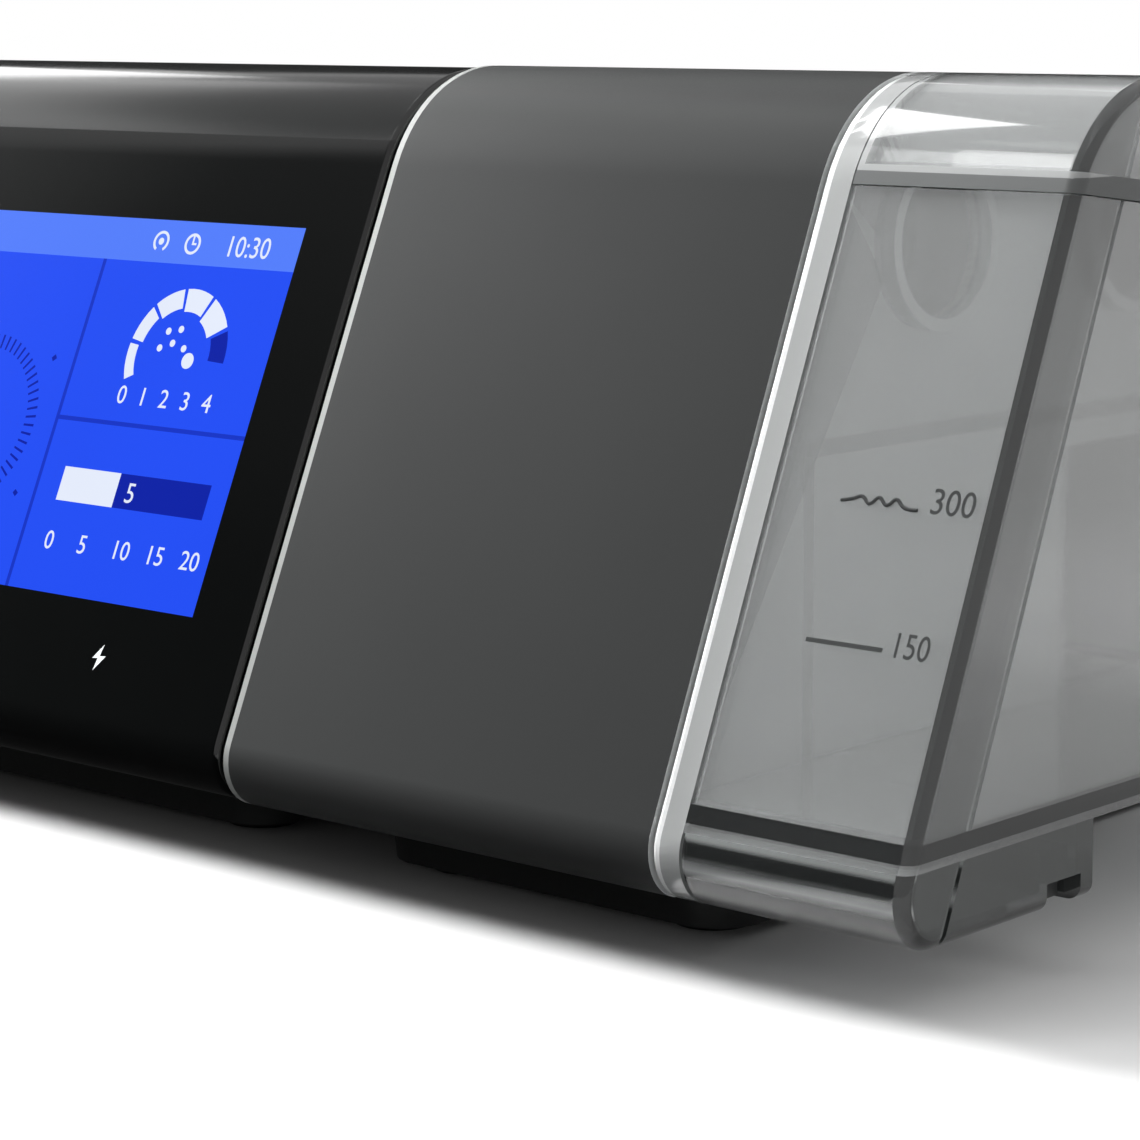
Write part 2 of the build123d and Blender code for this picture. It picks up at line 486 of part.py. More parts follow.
MOTOR_RADIUS, MOTOR_HEIGHT, MOTOR_FLOOR = 18.0, 24.0, 3.0
motor_low = volute_low - MOTOR_HEIGHT
motor = rod((BLOWER_X, BLOWER_Y, motor_low), ALONG_Z, MOTOR_RADIUS, MOTOR_HEIGHT)
motor = chamfer(face_edges(motor, Axis.Z, last=False), 1.5)
motor -= rod((BLOWER_X, BLOWER_Y, motor_low + MOTOR_FLOOR), ALONG_Z, MOTOR_SHAFT + SHAFT_CLEARANCE,
             MOTOR_HEIGHT)
save("blower_motor", motor)
shaft_low = motor_low + MOTOR_FLOOR + 2 * SHAFT_CLEARANCE
save("rotor_shaft", rod((BLOWER_X, BLOWER_Y, shaft_low), ALONG_Z, MOTOR_SHAFT,
                        impeller_low + IMPELLER_HEIGHT - shaft_low))
foam_low = UNIT_FLOOR + WALL + HOUSE_GAP
FOAM, FOAM_CORNER = 27.0, 5.0                # half the foam block's side, and its corners
save("silencer_foam", block(BLOWER_X - FOAM, BLOWER_X + FOAM, BLOWER_Y - FOAM, BLOWER_Y + FOAM,
                            foam_low, motor_low - HOUSE_GAP, FOAM_CORNER))

duct_end = X_DOCK - DOCK_WALL - 0.5
duct_start = (VOLUTE_EXIT, INLET_Y, PORT_HEIGHT)
save("inlet_duct", tube(duct_start, ALONG_X, DUCT_RADIUS, DUCT_WALL, duct_end - VOLUTE_EXIT))

DUCT_BEND = 14.0
OUTLET_START = Y_BACK - 9.0
route = FilletPolyline((duct_end, OUTLET_Y, PORT_HEIGHT), (OUTLET_X, OUTLET_Y, PORT_HEIGHT),
                       (OUTLET_X, OUTLET_START, PORT_HEIGHT), radius=DUCT_BEND)
ring_plane = Plane(origin=(duct_end, OUTLET_Y, PORT_HEIGHT), z_dir=(-1, 0, 0))
outlet_duct = (sweep(ring_plane * Circle(DUCT_RADIUS), path=route)
               - sweep(ring_plane * Circle(DUCT_RADIUS - DUCT_WALL), path=route))
save("outlet_duct", outlet_duct)

spigot_start = (OUTLET_X, OUTLET_START, PORT_HEIGHT)
spigot = rod(spigot_start, ALONG_Y, OUTLET_RADIUS, Y_BACK + OUTLET_REACH - OUTLET_START)
spigot += rod(spigot_start, ALONG_Y, OUTLET_RADIUS + 2, 4)
spigot += rod((OUTLET_X, Y_BACK, PORT_HEIGHT), ALONG_Y, OUTLET_RADIUS + 3, 1.6)
spigot -= rod((OUTLET_X, OUTLET_START - 1, PORT_HEIGHT), ALONG_Y, OUTLET_RADIUS - OUTLET_WALL, BODY_DEPTH)
save("air_outlet", spigot)

# ---------------------------------------------------------------- filter, its cover, card reader and door
LOUVRES, LOUVRE_HEIGHT, LOUVRE_PITCH = 6, 2.4, 5.4
LOUVRE_START = 8.0                           # hinge to the lowest louvre
LOUVRE_LENGTH = FILTER_X1 - FILTER_X0 - 9.0
filter_cover = block(FILTER_X0 + HINGE_GAP, FILTER_X1 - HINGE_GAP, Y_BACK - RECESS - WALL, Y_BACK - RECESS,
                     FILTER_AXIS_Z, FILTER_Z1 - HINGE_GAP)
filter_cover += rod((FILTER_X0 + HINGE_GAP, FILTER_AXIS_Y, FILTER_AXIS_Z), ALONG_X, WALL / 2,
                    FILTER_X1 - FILTER_X0 - 2 * HINGE_GAP)
filter_cover += rod((FILTER_X0 - PIN_REACH + 0.3, FILTER_AXIS_Y, FILTER_AXIS_Z), ALONG_X, PIN_RADIUS,
                    FILTER_X1 - FILTER_X0 + 2 * PIN_REACH - 0.6)
for row in range(LOUVRES):
    louvre_z = FILTER_AXIS_Z + LOUVRE_START + row * LOUVRE_PITCH
    place = Pos((FILTER_X0 + FILTER_X1) / 2, FILTER_AXIS_Y, louvre_z)
    filter_cover -= place * Rot(-35, 0, 0) * Box(LOUVRE_LENGTH, 4 * WALL, LOUVRE_HEIGHT)
save("filter_cover", filter_cover)
FILTER_THICKNESS = 8.0
filter_back = Y_BACK - RECESS - WALL - 0.5
air_filter = block(FILTER_X0 + HOUSE_GAP, FILTER_X1 - HOUSE_GAP, filter_back - FILTER_THICKNESS, filter_back,
                   FILTER_Z0 + HOUSE_GAP, FILTER_Z1 - HOUSE_GAP)
save("air_filter", air_filter)

door_y = (DOOR_Y0 + HINGE_GAP, DOOR_Y1 - HINGE_GAP)
card_door = block(X_LEFT, X_LEFT + WALL, *door_y, DOOR_AXIS_Z, DOOR_Z1 - HINGE_GAP)
card_door += rod((DOOR_AXIS_X, door_y[0], DOOR_AXIS_Z), ALONG_Y, WALL / 2, door_y[1] - door_y[0])
card_door += rod((DOOR_AXIS_X, DOOR_Y0 - PIN_REACH + 0.3, DOOR_AXIS_Z), ALONG_Y, PIN_RADIUS,
                 DOOR_Y1 - DOOR_Y0 + 2 * PIN_REACH - 0.6)
card_door -= Pos(X_LEFT, (DOOR_Y0 + DOOR_Y1) / 2, DOOR_Z1 - 3) * Box(1.2, 10, 1.2)
save("card_door", card_door)
CARD_WIDTH, CARD_SLOT = 24.0, 2.4
CARD_Y, CARD_Z = (DOOR_Y0 + DOOR_Y1) / 2, (DOOR_Z0 + DOOR_Z1) / 2 + 1
READER_LENGTH, READER_WIDTH, READER_HEIGHT, READER_BACK = 27.2, 28.0, 10.0, 4.0
reader_x = X_LEFT + WALL + HOUSE_GAP
reader = block(reader_x, reader_x + READER_LENGTH, CARD_Y - READER_WIDTH / 2, CARD_Y + READER_WIDTH / 2,
               CARD_Z - READER_HEIGHT / 2, CARD_Z + READER_HEIGHT / 2)
reader -= block(reader_x - 1, reader_x + READER_LENGTH - READER_BACK, CARD_Y - CARD_WIDTH / 2,
                CARD_Y + CARD_WIDTH / 2, CARD_Z - CARD_SLOT / 2, CARD_Z + CARD_SLOT / 2)
save("card_reader", reader)

SOCKET_DEPTH, SOCKET_BACK = 9.0, 5.0
PLUG_WIDTH, PLUG_HEIGHT = 11.0, 7.0          # the hole for the plug
CONTACT_PITCH, CONTACT_DROP, CONTACT_RADIUS, CONTACT_LENGTH = 3.2, 2.2, 0.5, 6.0
socket_floor = Y_BACK - RECESS - SOCKET_DEPTH
socket = block(SOCKET_X - SOCKET_WIDTH / 2, SOCKET_X + SOCKET_WIDTH / 2, socket_floor - SOCKET_BACK,
               Y_BACK - RECESS, SOCKET_Z - SOCKET_HEIGHT / 2, SOCKET_Z + SOCKET_HEIGHT / 2)
socket -= block(SOCKET_X - PLUG_WIDTH / 2, SOCKET_X + PLUG_WIDTH / 2, socket_floor, Y_BACK + 1,
                SOCKET_Z - PLUG_HEIGHT / 2, SOCKET_Z + PLUG_HEIGHT / 2)
save("power_inlet", socket)
contacts = [rod((SOCKET_X + CONTACT_PITCH * side, socket_floor, SOCKET_Z - CONTACT_DROP), ALONG_Y,
                CONTACT_RADIUS, CONTACT_LENGTH) for side in (-1, 0, 1)]
save("inlet_contacts", Compound(contacts))

# Main board, upright before the back wall: a heat sink above, a chip in the middle, three capacitors below.
MAIN_BOARD_WIDTH, MAIN_BOARD_INSET = 38.0, 10.0
MAIN_BOARD_TOP = HEIGHT - 15.2
board_x = X_UNIT - WALL - MAIN_BOARD_INSET - MAIN_BOARD_WIDTH
board_y = Y_BACK - 13.0
SINK_WIDTH, SINK_DEPTH, SINK_HEIGHT = 14.0, 9.0, 14.0
CHIP_WIDTH, CHIP_DEPTH, CHIP_HEIGHT = 10.0, 3.0, 10.0
CAPACITOR_RADIUS, CAPACITOR_LENGTH, CAPACITOR_PITCH = 3.5, 10.0, 11.0
sink_top, chip_top = MAIN_BOARD_TOP - 12, MAIN_BOARD_TOP - 40
board = block(board_x, board_x + MAIN_BOARD_WIDTH, board_y, board_y + BOARD_THICKNESS,
              foam_low, MAIN_BOARD_TOP)
board += block(board_x + 6, board_x + 6 + SINK_WIDTH, board_y - SINK_DEPTH, board_y,
               sink_top - SINK_HEIGHT, sink_top)
board += block(board_x + 24, board_x + 24 + CHIP_WIDTH, board_y - CHIP_DEPTH, board_y, chip_top - CHIP_HEIGHT,
               chip_top)
for step in range(3):
    place = (board_x + 8 + CAPACITOR_PITCH * step, board_y, foam_low + 2 * CAPACITOR_RADIUS + 4)
    board += rod(place, (0, -1, 0), CAPACITOR_RADIUS, CAPACITOR_LENGTH)
save("main_board", board)

# ---------------------------------------------------------------- controls
save("control_board", fascia_block(KNOB_X, KNOB_RISE, BOARD_WIDTH, BOARD_HEIGHT,
                                   BOARD_DEPTH - BOARD_THICKNESS, BOARD_THICKNESS))

ENCODER_TOP = -5.5
SHAFT_RADIUS = 2.95
PLUNGER_TOP = -9.8
encoder = fascia_block(KNOB_X, KNOB_RISE, 12, 12, BOARD_DEPTH, ENCODER_TOP - BOARD_DEPTH)
encoder += fascia_rod(KNOB_X, KNOB_RISE, ENCODER_TOP, ENCODER_NOSE, -ENCODER_TOP)
encoder -= fascia_rod(KNOB_X, KNOB_RISE, PLUNGER_TOP, SHAFT_RADIUS + SHAFT_CLEARANCE, 20)
encoder -= fascia_rod(KNOB_X, KNOB_RISE, BOARD_DEPTH + 0.3, SHAFT_RADIUS + 0.4, PLUNGER_TOP - BOARD_DEPTH)
save("encoder", encoder)
save("encoder_plunger", fascia_rod(KNOB_X, KNOB_RISE, PLUNGER_TOP - 0.8, SHAFT_RADIUS, 0.8))
shaft_length = KNOB_HEIGHT - 2 - PLUNGER_TOP
save("knob_shaft", fascia_rod(KNOB_X, KNOB_RISE, PLUNGER_TOP + 0.05, SHAFT_RADIUS, shaft_length))

FLUTES = 30
RING_HEIGHT = 1.6
CAP_HEIGHT = KNOB_HEIGHT - RING_HEIGHT
cap_outline = Polyline((0, 0), (KNOB_RADIUS - 0.5, 0), (KNOB_RADIUS - 1.2, CAP_HEIGHT), (0, CAP_HEIGHT),
                       close=True)
knob = revolve(Plane.XZ * make_face(cap_outline), axis=Axis.Z)
knob = fillet(face_edges(knob, Axis.Z, last=True), 1.4)
for turn in range(FLUTES):
    flute = Pos(KNOB_RADIUS + 0.1, 0, 1.0) * Cylinder(0.9, CAP_HEIGHT - 3, align=ON_BASE)
    knob -= Rot(0, 0, turn * 360 / FLUTES) * flute
knob -= Pos(0, 0, CAP_HEIGHT + 18.2) * Sphere(19)
knob -= Cylinder(SHAFT_RADIUS, 2 * (CAP_HEIGHT - 3))
save("knob_cap", on_fascia(KNOB_X, KNOB_RISE, KNOB_GAP + RING_HEIGHT) * knob)
knob_ring = Cylinder(KNOB_RADIUS, RING_HEIGHT, align=ON_BASE)
knob_ring = chamfer(face_edges(knob_ring, Axis.Z, last=True), 0.4)
knob_ring -= Cylinder(SHAFT_RADIUS, 4 * RING_HEIGHT)
save("knob_ring", on_fascia(KNOB_X, KNOB_RISE, KNOB_GAP) * knob_ring)


def key(radius, proud, stem, stem_radius):
    """A push key: face outwards along +Z, the panel's face at 0, with a flange behind the panel."""
    flange_top, flange = -WALL - KEY_CLEARANCE, 1.2
    body = Pos(0, 0, flange_top) * Cylinder(radius, proud - flange_top, align=ON_BASE)
    body = fillet(face_edges(body, Axis.Z, last=True), 0.5)
    body -= Pos(0, 0, proud + 5.6 * radius - 0.35) * Sphere(5.6 * radius)
    body += Pos(0, 0, flange_top - flange) * Cylinder(radius + 1.5, flange, align=ON_BASE)
    return body + Pos(0, 0, -stem) * Cylinder(stem_radius, stem + flange_top, align=ON_BASE)


KEY_STEM = 9.2
for name, rise in (("home_button", HOME_RISE), ("ramp_button", RAMP_RISE)):
    save(name, on_fascia(KNOB_X, rise) * key(KEY_RADIUS, KEY_PROUD, KEY_STEM, 2.0))
switches = []
for rise in (HOME_RISE, RAMP_RISE):
    actuator = -KEY_STEM - KEY_TRAVEL - SWITCH_GAP
    switches.append(fascia_block(KNOB_X, rise, 6, 6, BOARD_DEPTH, actuator - 0.5 - BOARD_DEPTH)
                    + fascia_rod(KNOB_X, rise, BOARD_DEPTH, 1.7, actuator - BOARD_DEPTH))
save("start_button", start_plane * key(START_RADIUS, START_PROUD, START_STEM, 2.5))
switches.append(block(KNOB_X - 3, KNOB_X + 3, START_Y - 3, START_Y + 3, SHELF_TOP, start_actuator - 0.8)
                + rod((KNOB_X, START_Y, SHELF_TOP), ALONG_Z, 1.7, start_actuator - SHELF_TOP))
save("key_switches", Compound(switches))

# ---------------------------------------------------------------- heater
HEATER_THICKNESS = 2.5
heater = block(HEATER_X - PLATE_LENGTH / 2, HEATER_X + PLATE_LENGTH / 2, HEATER_Y - PLATE_DEPTH / 2,
               HEATER_Y + PLATE_DEPTH / 2, heater_top - HEATER_THICKNESS, heater_top, 5)
heater = chamfer(face_edges(heater, Axis.Z, last=True), 0.6)
save("heater_plate", heater)


def disc_spring(x, y, low, high, count=3):
    """A stack of disc springs, as one pleated sleeve."""
    step = (high - low) / (2 * count)
    outer, inner, leaf = SPRING_RADIUS, SPRING_RADIUS - 1.4, 0.5
    edge = [(outer if i % 2 else inner, low + i * step) for i in range(2 * count + 1)]
    back = [(r - leaf, z) for r, z in reversed(edge)]
    return Pos(x, y, 0) * revolve(Plane.XZ * make_face(Polyline(*edge, *back, close=True)), axis=Axis.Z)


springs = [disc_spring(x, y, BASE_TOP, heater_top - HEATER_THICKNESS) for x, y in spring_places]
save("heater_springs", Compound(springs))

# ---------------------------------------------------------------- water chamber
Y_SKIRT = Y_TOE + SKIRT_DEPTH
SKIRT_RETURN = 2.0
X_STRIP = X_RIM + RIM_WIDTH           # right edge of the rim strip
X_INNER = X_RIM + RIM_WALL            # right face of the chamber's left wall

envelope = wedge(X_RIM, X_RIGHT)
envelope = fillet(face_edges(envelope, Axis.X, last=True), CORNER_RADIUS)
envelope = fillet(face_edges(envelope, Axis.X, last=False), RIM_RADIUS)
envelope -= block(0, SIDE, Y_SKIRT, SIDE, 0, FLOOR_BOTTOM)
cavity = wedge(X_INNER, X_RIGHT - CLEAR_WALL, CLEAR_WALL)
over_floor = block(0, SIDE, -SIDE, SIDE, FLOOR_TOP, SIDE)
under_floor = block(0, SIDE, -SIDE, Y_SKIRT - SKIRT_RETURN, 0, FLOOR_BOTTOM)
shell = envelope - (cavity & over_floor) - (cavity & under_floor)
right_of_strip = block(X_STRIP, SIDE, -SIDE, SIDE, 0, SIDE)
floor_slab = block(X_TONGUE, SIDE, -SIDE, SIDE, FLOOR_BOTTOM, FLOOR_TOP)

# Floor: the tongue's footprint and the whole end piece, with a stepped window for the heated plate.
tongue_foot = block(X_TONGUE, X_INNER, TONGUE_FRONT, TONGUE_BACK, FLOOR_BOTTOM, FLOOR_TOP)
tongue_foot = fillet(tongue_foot.edges().filter_by(Axis.Z).group_by(Axis.X)[0], 5)
chamber_floor = tongue_foot + (envelope & right_of_strip & floor_slab)
chamber_floor += wedge(X_INNER, X_STRIP, CLEAR_WALL) & floor_slab
PLATE_LEDGE = 2.0
window = (HEATER_X - PLATE_LENGTH / 2, HEATER_X + PLATE_LENGTH / 2,
          HEATER_Y - PLATE_DEPTH / 2, HEATER_Y + PLATE_DEPTH / 2)
ledge = (window[0] - PLATE_LEDGE, window[1] + PLATE_LEDGE, window[2] - PLATE_LEDGE, window[3] + PLATE_LEDGE)
LEDGE_Z = FLOOR_BOTTOM + 1.5
chamber_floor -= block(*window, 0, FLOOR_TOP + 1, PLATE_CORNER)
chamber_floor -= block(*ledge, LEDGE_Z, FLOOR_TOP + 1, PLATE_CORNER)
# Two lugs under the floor carry the release lever's pin.
PIVOT_X, PIVOT_Z, PIVOT_RADIUS = X_RIM + 16.0, UNDERCUT + 5.2, 1.0
LUG_THICKNESS, LUG_GAP = 0.9, 0.2
for side in (-1, 1):
    y = LEVER_Y + side * (LEVER_WIDTH / 2 + LUG_GAP + LUG_THICKNESS / 2)
    lug = block(PIVOT_X - 3, PIVOT_X + 3, y - LUG_THICKNESS / 2, y + LUG_THICKNESS / 2,
                PIVOT_Z - 2.4, FLOOR_BOTTOM)
    chamber_floor += fillet(lug.edges().filter_by(Axis.Y).group_by(Axis.Z)[0], 2.2)
pin_start = (PIVOT_X, LEVER_Y - LEVER_WIDTH / 2 - LUG_GAP - LUG_THICKNESS, PIVOT_Z)
pin_length = LEVER_WIDTH + 2 * LUG_GAP + 2 * LUG_THICKNESS
chamber_floor -= rod(pin_start, ALONG_Y, PIVOT_RADIUS, pin_length)
save("chamber_floor", chamber_floor)
save("lever_pin", rod(pin_start, ALONG_Y, PIVOT_RADIUS, pin_length))

PLATE_TOP = FLOOR_TOP - 0.5
heat_plate = block(*window, FLOOR_BOTTOM - PLATE_PROUD, LEDGE_Z, PLATE_CORNER)
save("heat_plate", heat_plate + block(*ledge, LEDGE_Z, PLATE_TOP, PLATE_CORNER))
plate_seal = block(*ledge, PLATE_TOP, FLOOR_TOP, PLATE_CORNER)
save("plate_seal", plate_seal - block(*window, PLATE_TOP - 1, FLOOR_TOP + 1, PLATE_CORNER))

# Tub: rim and left wall over the whole outline, box walls up to the seal, and the tongue.
LINE_WIDTH, LINE_DEPTH = 0.7, 0.5     # moulded lines beside the rim and on the right side
SIDE_LINE = 9.0                       # the one on the right side runs this far behind the front
below_seal = block(0, SIDE, -SIDE, SIDE, FLOOR_TOP, SIDE) - above(-SEAL_HEIGHT / 2)
tub = shell - right_of_strip
tub -= chamber_floor
box_walls = (shell & right_of_strip) & below_seal
line_band = wedge(X_STRIP, X_STRIP + LINE_WIDTH, -1) - wedge(X_STRIP, X_STRIP + LINE_WIDTH, LINE_DEPTH)
ends = (UNDERCUT - 1, HEIGHT + 1)
side_line = prism([(front_y(z, SIDE_LINE - LINE_WIDTH / 2), z) for z in ends]
                  + [(front_y(z, SIDE_LINE + LINE_WIDTH / 2), z) for z in reversed(ends)],
                  X_RIGHT - LINE_DEPTH, X_RIGHT + 1)
tub += box_walls - line_band - side_line
tongue = block(X_TONGUE, X_INNER, TONGUE_FRONT, TONGUE_BACK, FLOOR_TOP, TONGUE_TOP)
tongue = fillet(tongue.edges().filter_by(Axis.Z).group_by(Axis.X)[0], 5)
hollow = block(X_TONGUE + TONGUE_WALL, X_RIM, TONGUE_FRONT + TONGUE_WALL, TONGUE_BACK - TONGUE_WALL,
               FLOOR_TOP, TONGUE_TOP - TONGUE_WALL)
tub += tongue - hollow
PASS_FRONT, PASS_TOP = 5.0, TONGUE_TOP - TONGUE_WALL - 3.0
tub -= block(X_RIM - 1, X_INNER + 1, PASS_FRONT, TONGUE_BACK - TONGUE_WALL - 1, FLOOR_TOP, PASS_TOP)
for y in (INLET_Y, OUTLET_Y):
    tub -= rod((X_RIM - 1, y, PORT_HEIGHT), ALONG_X, TUBE_RADIUS, RIM_WALL + 2)
# Slot in the left wall for the release lever.
tub -= block(X_RIM - 1, X_INNER + 1, *catch, BASE_TOP, FLOOR_BOTTOM)
# Hinge knuckles on the back of the tub, below the parting plane.
KNUCKLE, HINGE_PIN = 2.4, 1.0
HINGE_Y = Y_BACK + KNUCKLE + 0.2
HINGE_Z = parting_z(Y_BACK)
HINGE_X0, HINGE_X1 = X_STRIP + 2.0, X_RIGHT - 4.0
KNUCKLE_LENGTH = 5.0


def knuckle(x0, x1, web_low, web_high):
    """A hinge barrel with the web that joins it to the chamber's back wall."""
    barrel = rod((x0, HINGE_Y, HINGE_Z), ALONG_X, KNUCKLE, x1 - x0)
    return barrel + block(x0, x1, Y_BACK - 0.5, HINGE_Y, web_low, web_high)


tub += knuckle(HINGE_X0, HINGE_X0 + KNUCKLE_LENGTH, HINGE_Z - 8, HINGE_Z - SEAL_HEIGHT / 2 - 0.2)
tub += knuckle(HINGE_X1 - KNUCKLE_LENGTH, HINGE_X1, HINGE_Z - 8, HINGE_Z - SEAL_HEIGHT / 2 - 0.2)
tub -= rod((HINGE_X0 - 1, HINGE_Y, HINGE_Z), ALONG_X, HINGE_PIN, HINGE_X1 - HINGE_X0 + 2)
save("chamber_tub", tub)
save("lid_hinge_pin", rod((HINGE_X0, HINGE_Y, HINGE_Z), ALONG_X, HINGE_PIN, HINGE_X1 - HINGE_X0))

for name, y in (("inlet_tube", INLET_Y), ("outlet_tube", OUTLET_Y)):
    tip = duct_end + 0.2
    save(name, tube((tip, y, PORT_HEIGHT), ALONG_X, TUBE_RADIUS, TUBE_WALL, X_INNER + 2 - tip))

# Skirt: front, underside, right side and a return wall, with a notch for the lever's thumb pad.
skirt = shell & right_of_strip & block(0, SIDE, -SIDE, SIDE, 0, FLOOR_BOTTOM)
skirt = skirt - line_band - side_line
NOTCH_HEIGHT = 3.2
skirt -= block(X_RIGHT - 12, SIDE, *catch, 0, UNDERCUT + NOTCH_HEIGHT)
save("chamber_skirt", skirt)

# Lid: everything above the seal, right of the rim, hinged at the back.
seal_x = (X_STRIP + SEAL_CLEARANCE, X_STRIP + SEAL_CLEARANCE + SEAL_WIDTH)
lid_zone = above(SEAL_HEIGHT / 2)
lid = (shell & block(seal_x[1], SIDE, -SIDE, SIDE, 0, SIDE) & lid_zone) - side_line
lid += knuckle(HINGE_X0 + KNUCKLE_LENGTH + 0.3, HINGE_X1 - KNUCKLE_LENGTH - 0.3,
               HINGE_Z + SEAL_HEIGHT / 2 + 0.2, HINGE_Z + 8)
lid -= rod((HINGE_X0, HINGE_Y, HINGE_Z), ALONG_X, HINGE_PIN + SHAFT_CLEARANCE, HINGE_X1 - HINGE_X0)
save("chamber_lid", lid)
right_of_rim = block(seal_x[0], SIDE, -SIDE, SIDE, 0, SIDE)
flat_seal = shell & right_of_rim & (above(-SEAL_HEIGHT / 2 + SEAL_CLEARANCE) - lid_zone)
arch_seal = shell & block(*seal_x, -SIDE, SIDE, 0, SIDE) & lid_zone
save("lid_seal", flat_seal + arch_seal)

# Release lever: hook at the left in the gap of the base's lip, thumb pad at the right over the skirt's notch.
LEVER_THICKNESS = 2.4
PAD_LENGTH = 8.0
lever_x = (LIP_X0 - 2.6, X_RIGHT - CLEAR_WALL - 0.4)
lever_y = (LEVER_Y - LEVER_WIDTH / 2, LEVER_Y + LEVER_WIDTH / 2)
arm_low, arm_high = PIVOT_Z - LEVER_THICKNESS / 2, PIVOT_Z + LEVER_THICKNESS / 2
lever = block(*lever_x, *lever_y, arm_low, arm_high)
lever += rod((PIVOT_X, lever_y[0], PIVOT_Z), ALONG_Y, 2.2, LEVER_WIDTH)
lever += block(lever_x[1] - PAD_LENGTH, lever_x[1], *lever_y, UNDERCUT + 0.4, PIVOT_Z)
hook_top = LIP_TOP - CATCH_BAR - SLIDE_CLEARANCE
lever += block(lever_x[0], lever_x[0] + 1.8, *lever_y, arm_high, hook_top)
lever -= rod((PIVOT_X, lever_y[0] - 1, PIVOT_Z), ALONG_Y, PIVOT_RADIUS + SHAFT_CLEARANCE, LEVER_WIDTH + 2)
save("release_lever", lever)
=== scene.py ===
import bpy
import json
from math import atan2, cos, degrees, radians, sin, tan
from mathutils import Matrix, Vector

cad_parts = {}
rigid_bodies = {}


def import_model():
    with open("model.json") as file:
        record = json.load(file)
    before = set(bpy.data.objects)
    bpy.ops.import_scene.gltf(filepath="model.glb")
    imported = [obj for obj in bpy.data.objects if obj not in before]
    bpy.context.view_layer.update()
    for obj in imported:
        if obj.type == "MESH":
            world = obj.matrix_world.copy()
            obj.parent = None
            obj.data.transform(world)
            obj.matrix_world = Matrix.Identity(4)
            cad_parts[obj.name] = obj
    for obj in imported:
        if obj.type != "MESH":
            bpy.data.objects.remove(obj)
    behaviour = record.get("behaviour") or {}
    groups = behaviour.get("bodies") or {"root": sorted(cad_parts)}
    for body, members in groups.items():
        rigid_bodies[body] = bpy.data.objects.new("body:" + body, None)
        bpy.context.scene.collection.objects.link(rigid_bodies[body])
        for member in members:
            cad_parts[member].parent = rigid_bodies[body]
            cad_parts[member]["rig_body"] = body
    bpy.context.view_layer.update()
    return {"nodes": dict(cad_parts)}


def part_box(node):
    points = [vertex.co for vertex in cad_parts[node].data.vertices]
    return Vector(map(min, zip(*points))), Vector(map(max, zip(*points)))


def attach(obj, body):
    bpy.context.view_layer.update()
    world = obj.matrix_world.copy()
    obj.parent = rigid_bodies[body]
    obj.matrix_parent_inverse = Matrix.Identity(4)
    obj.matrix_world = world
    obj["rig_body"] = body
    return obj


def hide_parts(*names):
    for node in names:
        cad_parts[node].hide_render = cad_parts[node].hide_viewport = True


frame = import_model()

# ---------------------------------------------------------------- camera
# A long lens from the right of the front, a little over the height of the machine, which shows the screen's
# right half, the satin cover and the clear chamber with its right side.
CAMERA_PLACE = (0.31615, -0.35774, 0.10688)
CAMERA_DIP, CAMERA_TURN = 6.093, 41.309      # degrees under level, and to the left of straight back
bpy.ops.object.camera_add(location=CAMERA_PLACE,
                          rotation=(radians(90 - CAMERA_DIP), 0, radians(CAMERA_TURN)))
camera = bpy.context.object
camera.name = "camera"
camera.data.sensor_width = 36
camera.data.lens = 108.04
camera.data.shift_x = 0.0187
camera.data.shift_y = -0.1738
camera.data.clip_start = 0.01
camera.data.clip_end = 60
bpy.context.scene.camera = camera
bpy.context.scene.view_settings.view_transform = "Standard"


# ---------------------------------------------------------------- studio
def linear(code):
    """An sRGB hex colour as linear red, green, blue and alpha."""
    parts = [int(code[i:i + 2], 16) / 255 for i in (1, 3, 5)]
    return tuple(c / 12.92 if c <= 0.04045 else ((c + 0.055) / 1.055) ** 2.4 for c in parts) + (1.0,)


def add(tree, kind, links=None, values=None, **settings):
    """Adds a node with its settings, its sockets' values and its links."""
    made = tree.nodes.new(kind)
    for name, value in settings.items():
        setattr(made, name, value)
    for name, value in (values or {}).items():
        made.inputs[name].default_value = value
    for name, source in (links or {}).items():
        tree.links.new(source, made.inputs[name])
    return made


def seen_rays(tree):
    """1 for rays from the eye, off gloss and through clear plastic, and 0 for light that surfaces throw."""
    path = add(tree, "ShaderNodeLightPath")
    seen = add(tree, "ShaderNodeMath", {0: path.outputs["Is Camera Ray"], 1: path.outputs["Is Glossy Ray"]},
               operation="MAXIMUM")
    seen = add(tree, "ShaderNodeMath", {0: seen.outputs[0], 1: path.outputs["Is Transmission Ray"]},
               operation="MAXIMUM")
    return seen.outputs[0]


# A wide table top of matt lacquered board, which takes the machine's soft shadow.  For the eye its tone is
# painted shade: greyest before the machine and to its left, painted lighter behind it, and plain white a
# little way off.
BOUNCE = 0.15                                # share of the light that the board throws onto the machine
WHITE_FROM, WHITE_AT = 0.26, 0.42            # distances from the machine's middle
bpy.ops.mesh.primitive_plane_add(size=24, location=(0, 0, 0))
table = bpy.context.object
table.name = "table_top"
lacquer = bpy.data.materials.new("white_lacquered_board")
lacquer.use_nodes = True
tree = lacquer.node_tree
tree.nodes.clear()
seen = seen_rays(tree)
place = add(tree, "ShaderNodeTexCoord")
split = add(tree, "ShaderNodeSeparateXYZ", {0: place.outputs["Object"]})
painted_shade_across = add(tree, "ShaderNodeMapRange", {"Value": split.outputs["X"]},
             {"From Min": -0.1, "From Max": 0.25, "To Min": 0.3, "To Max": 1.2})
behind = add(tree, "ShaderNodeMapRange", {"Value": split.outputs["Y"]},
             {"From Min": 0.0, "From Max": 0.12, "To Min": 0.0, "To Max": 1.4})
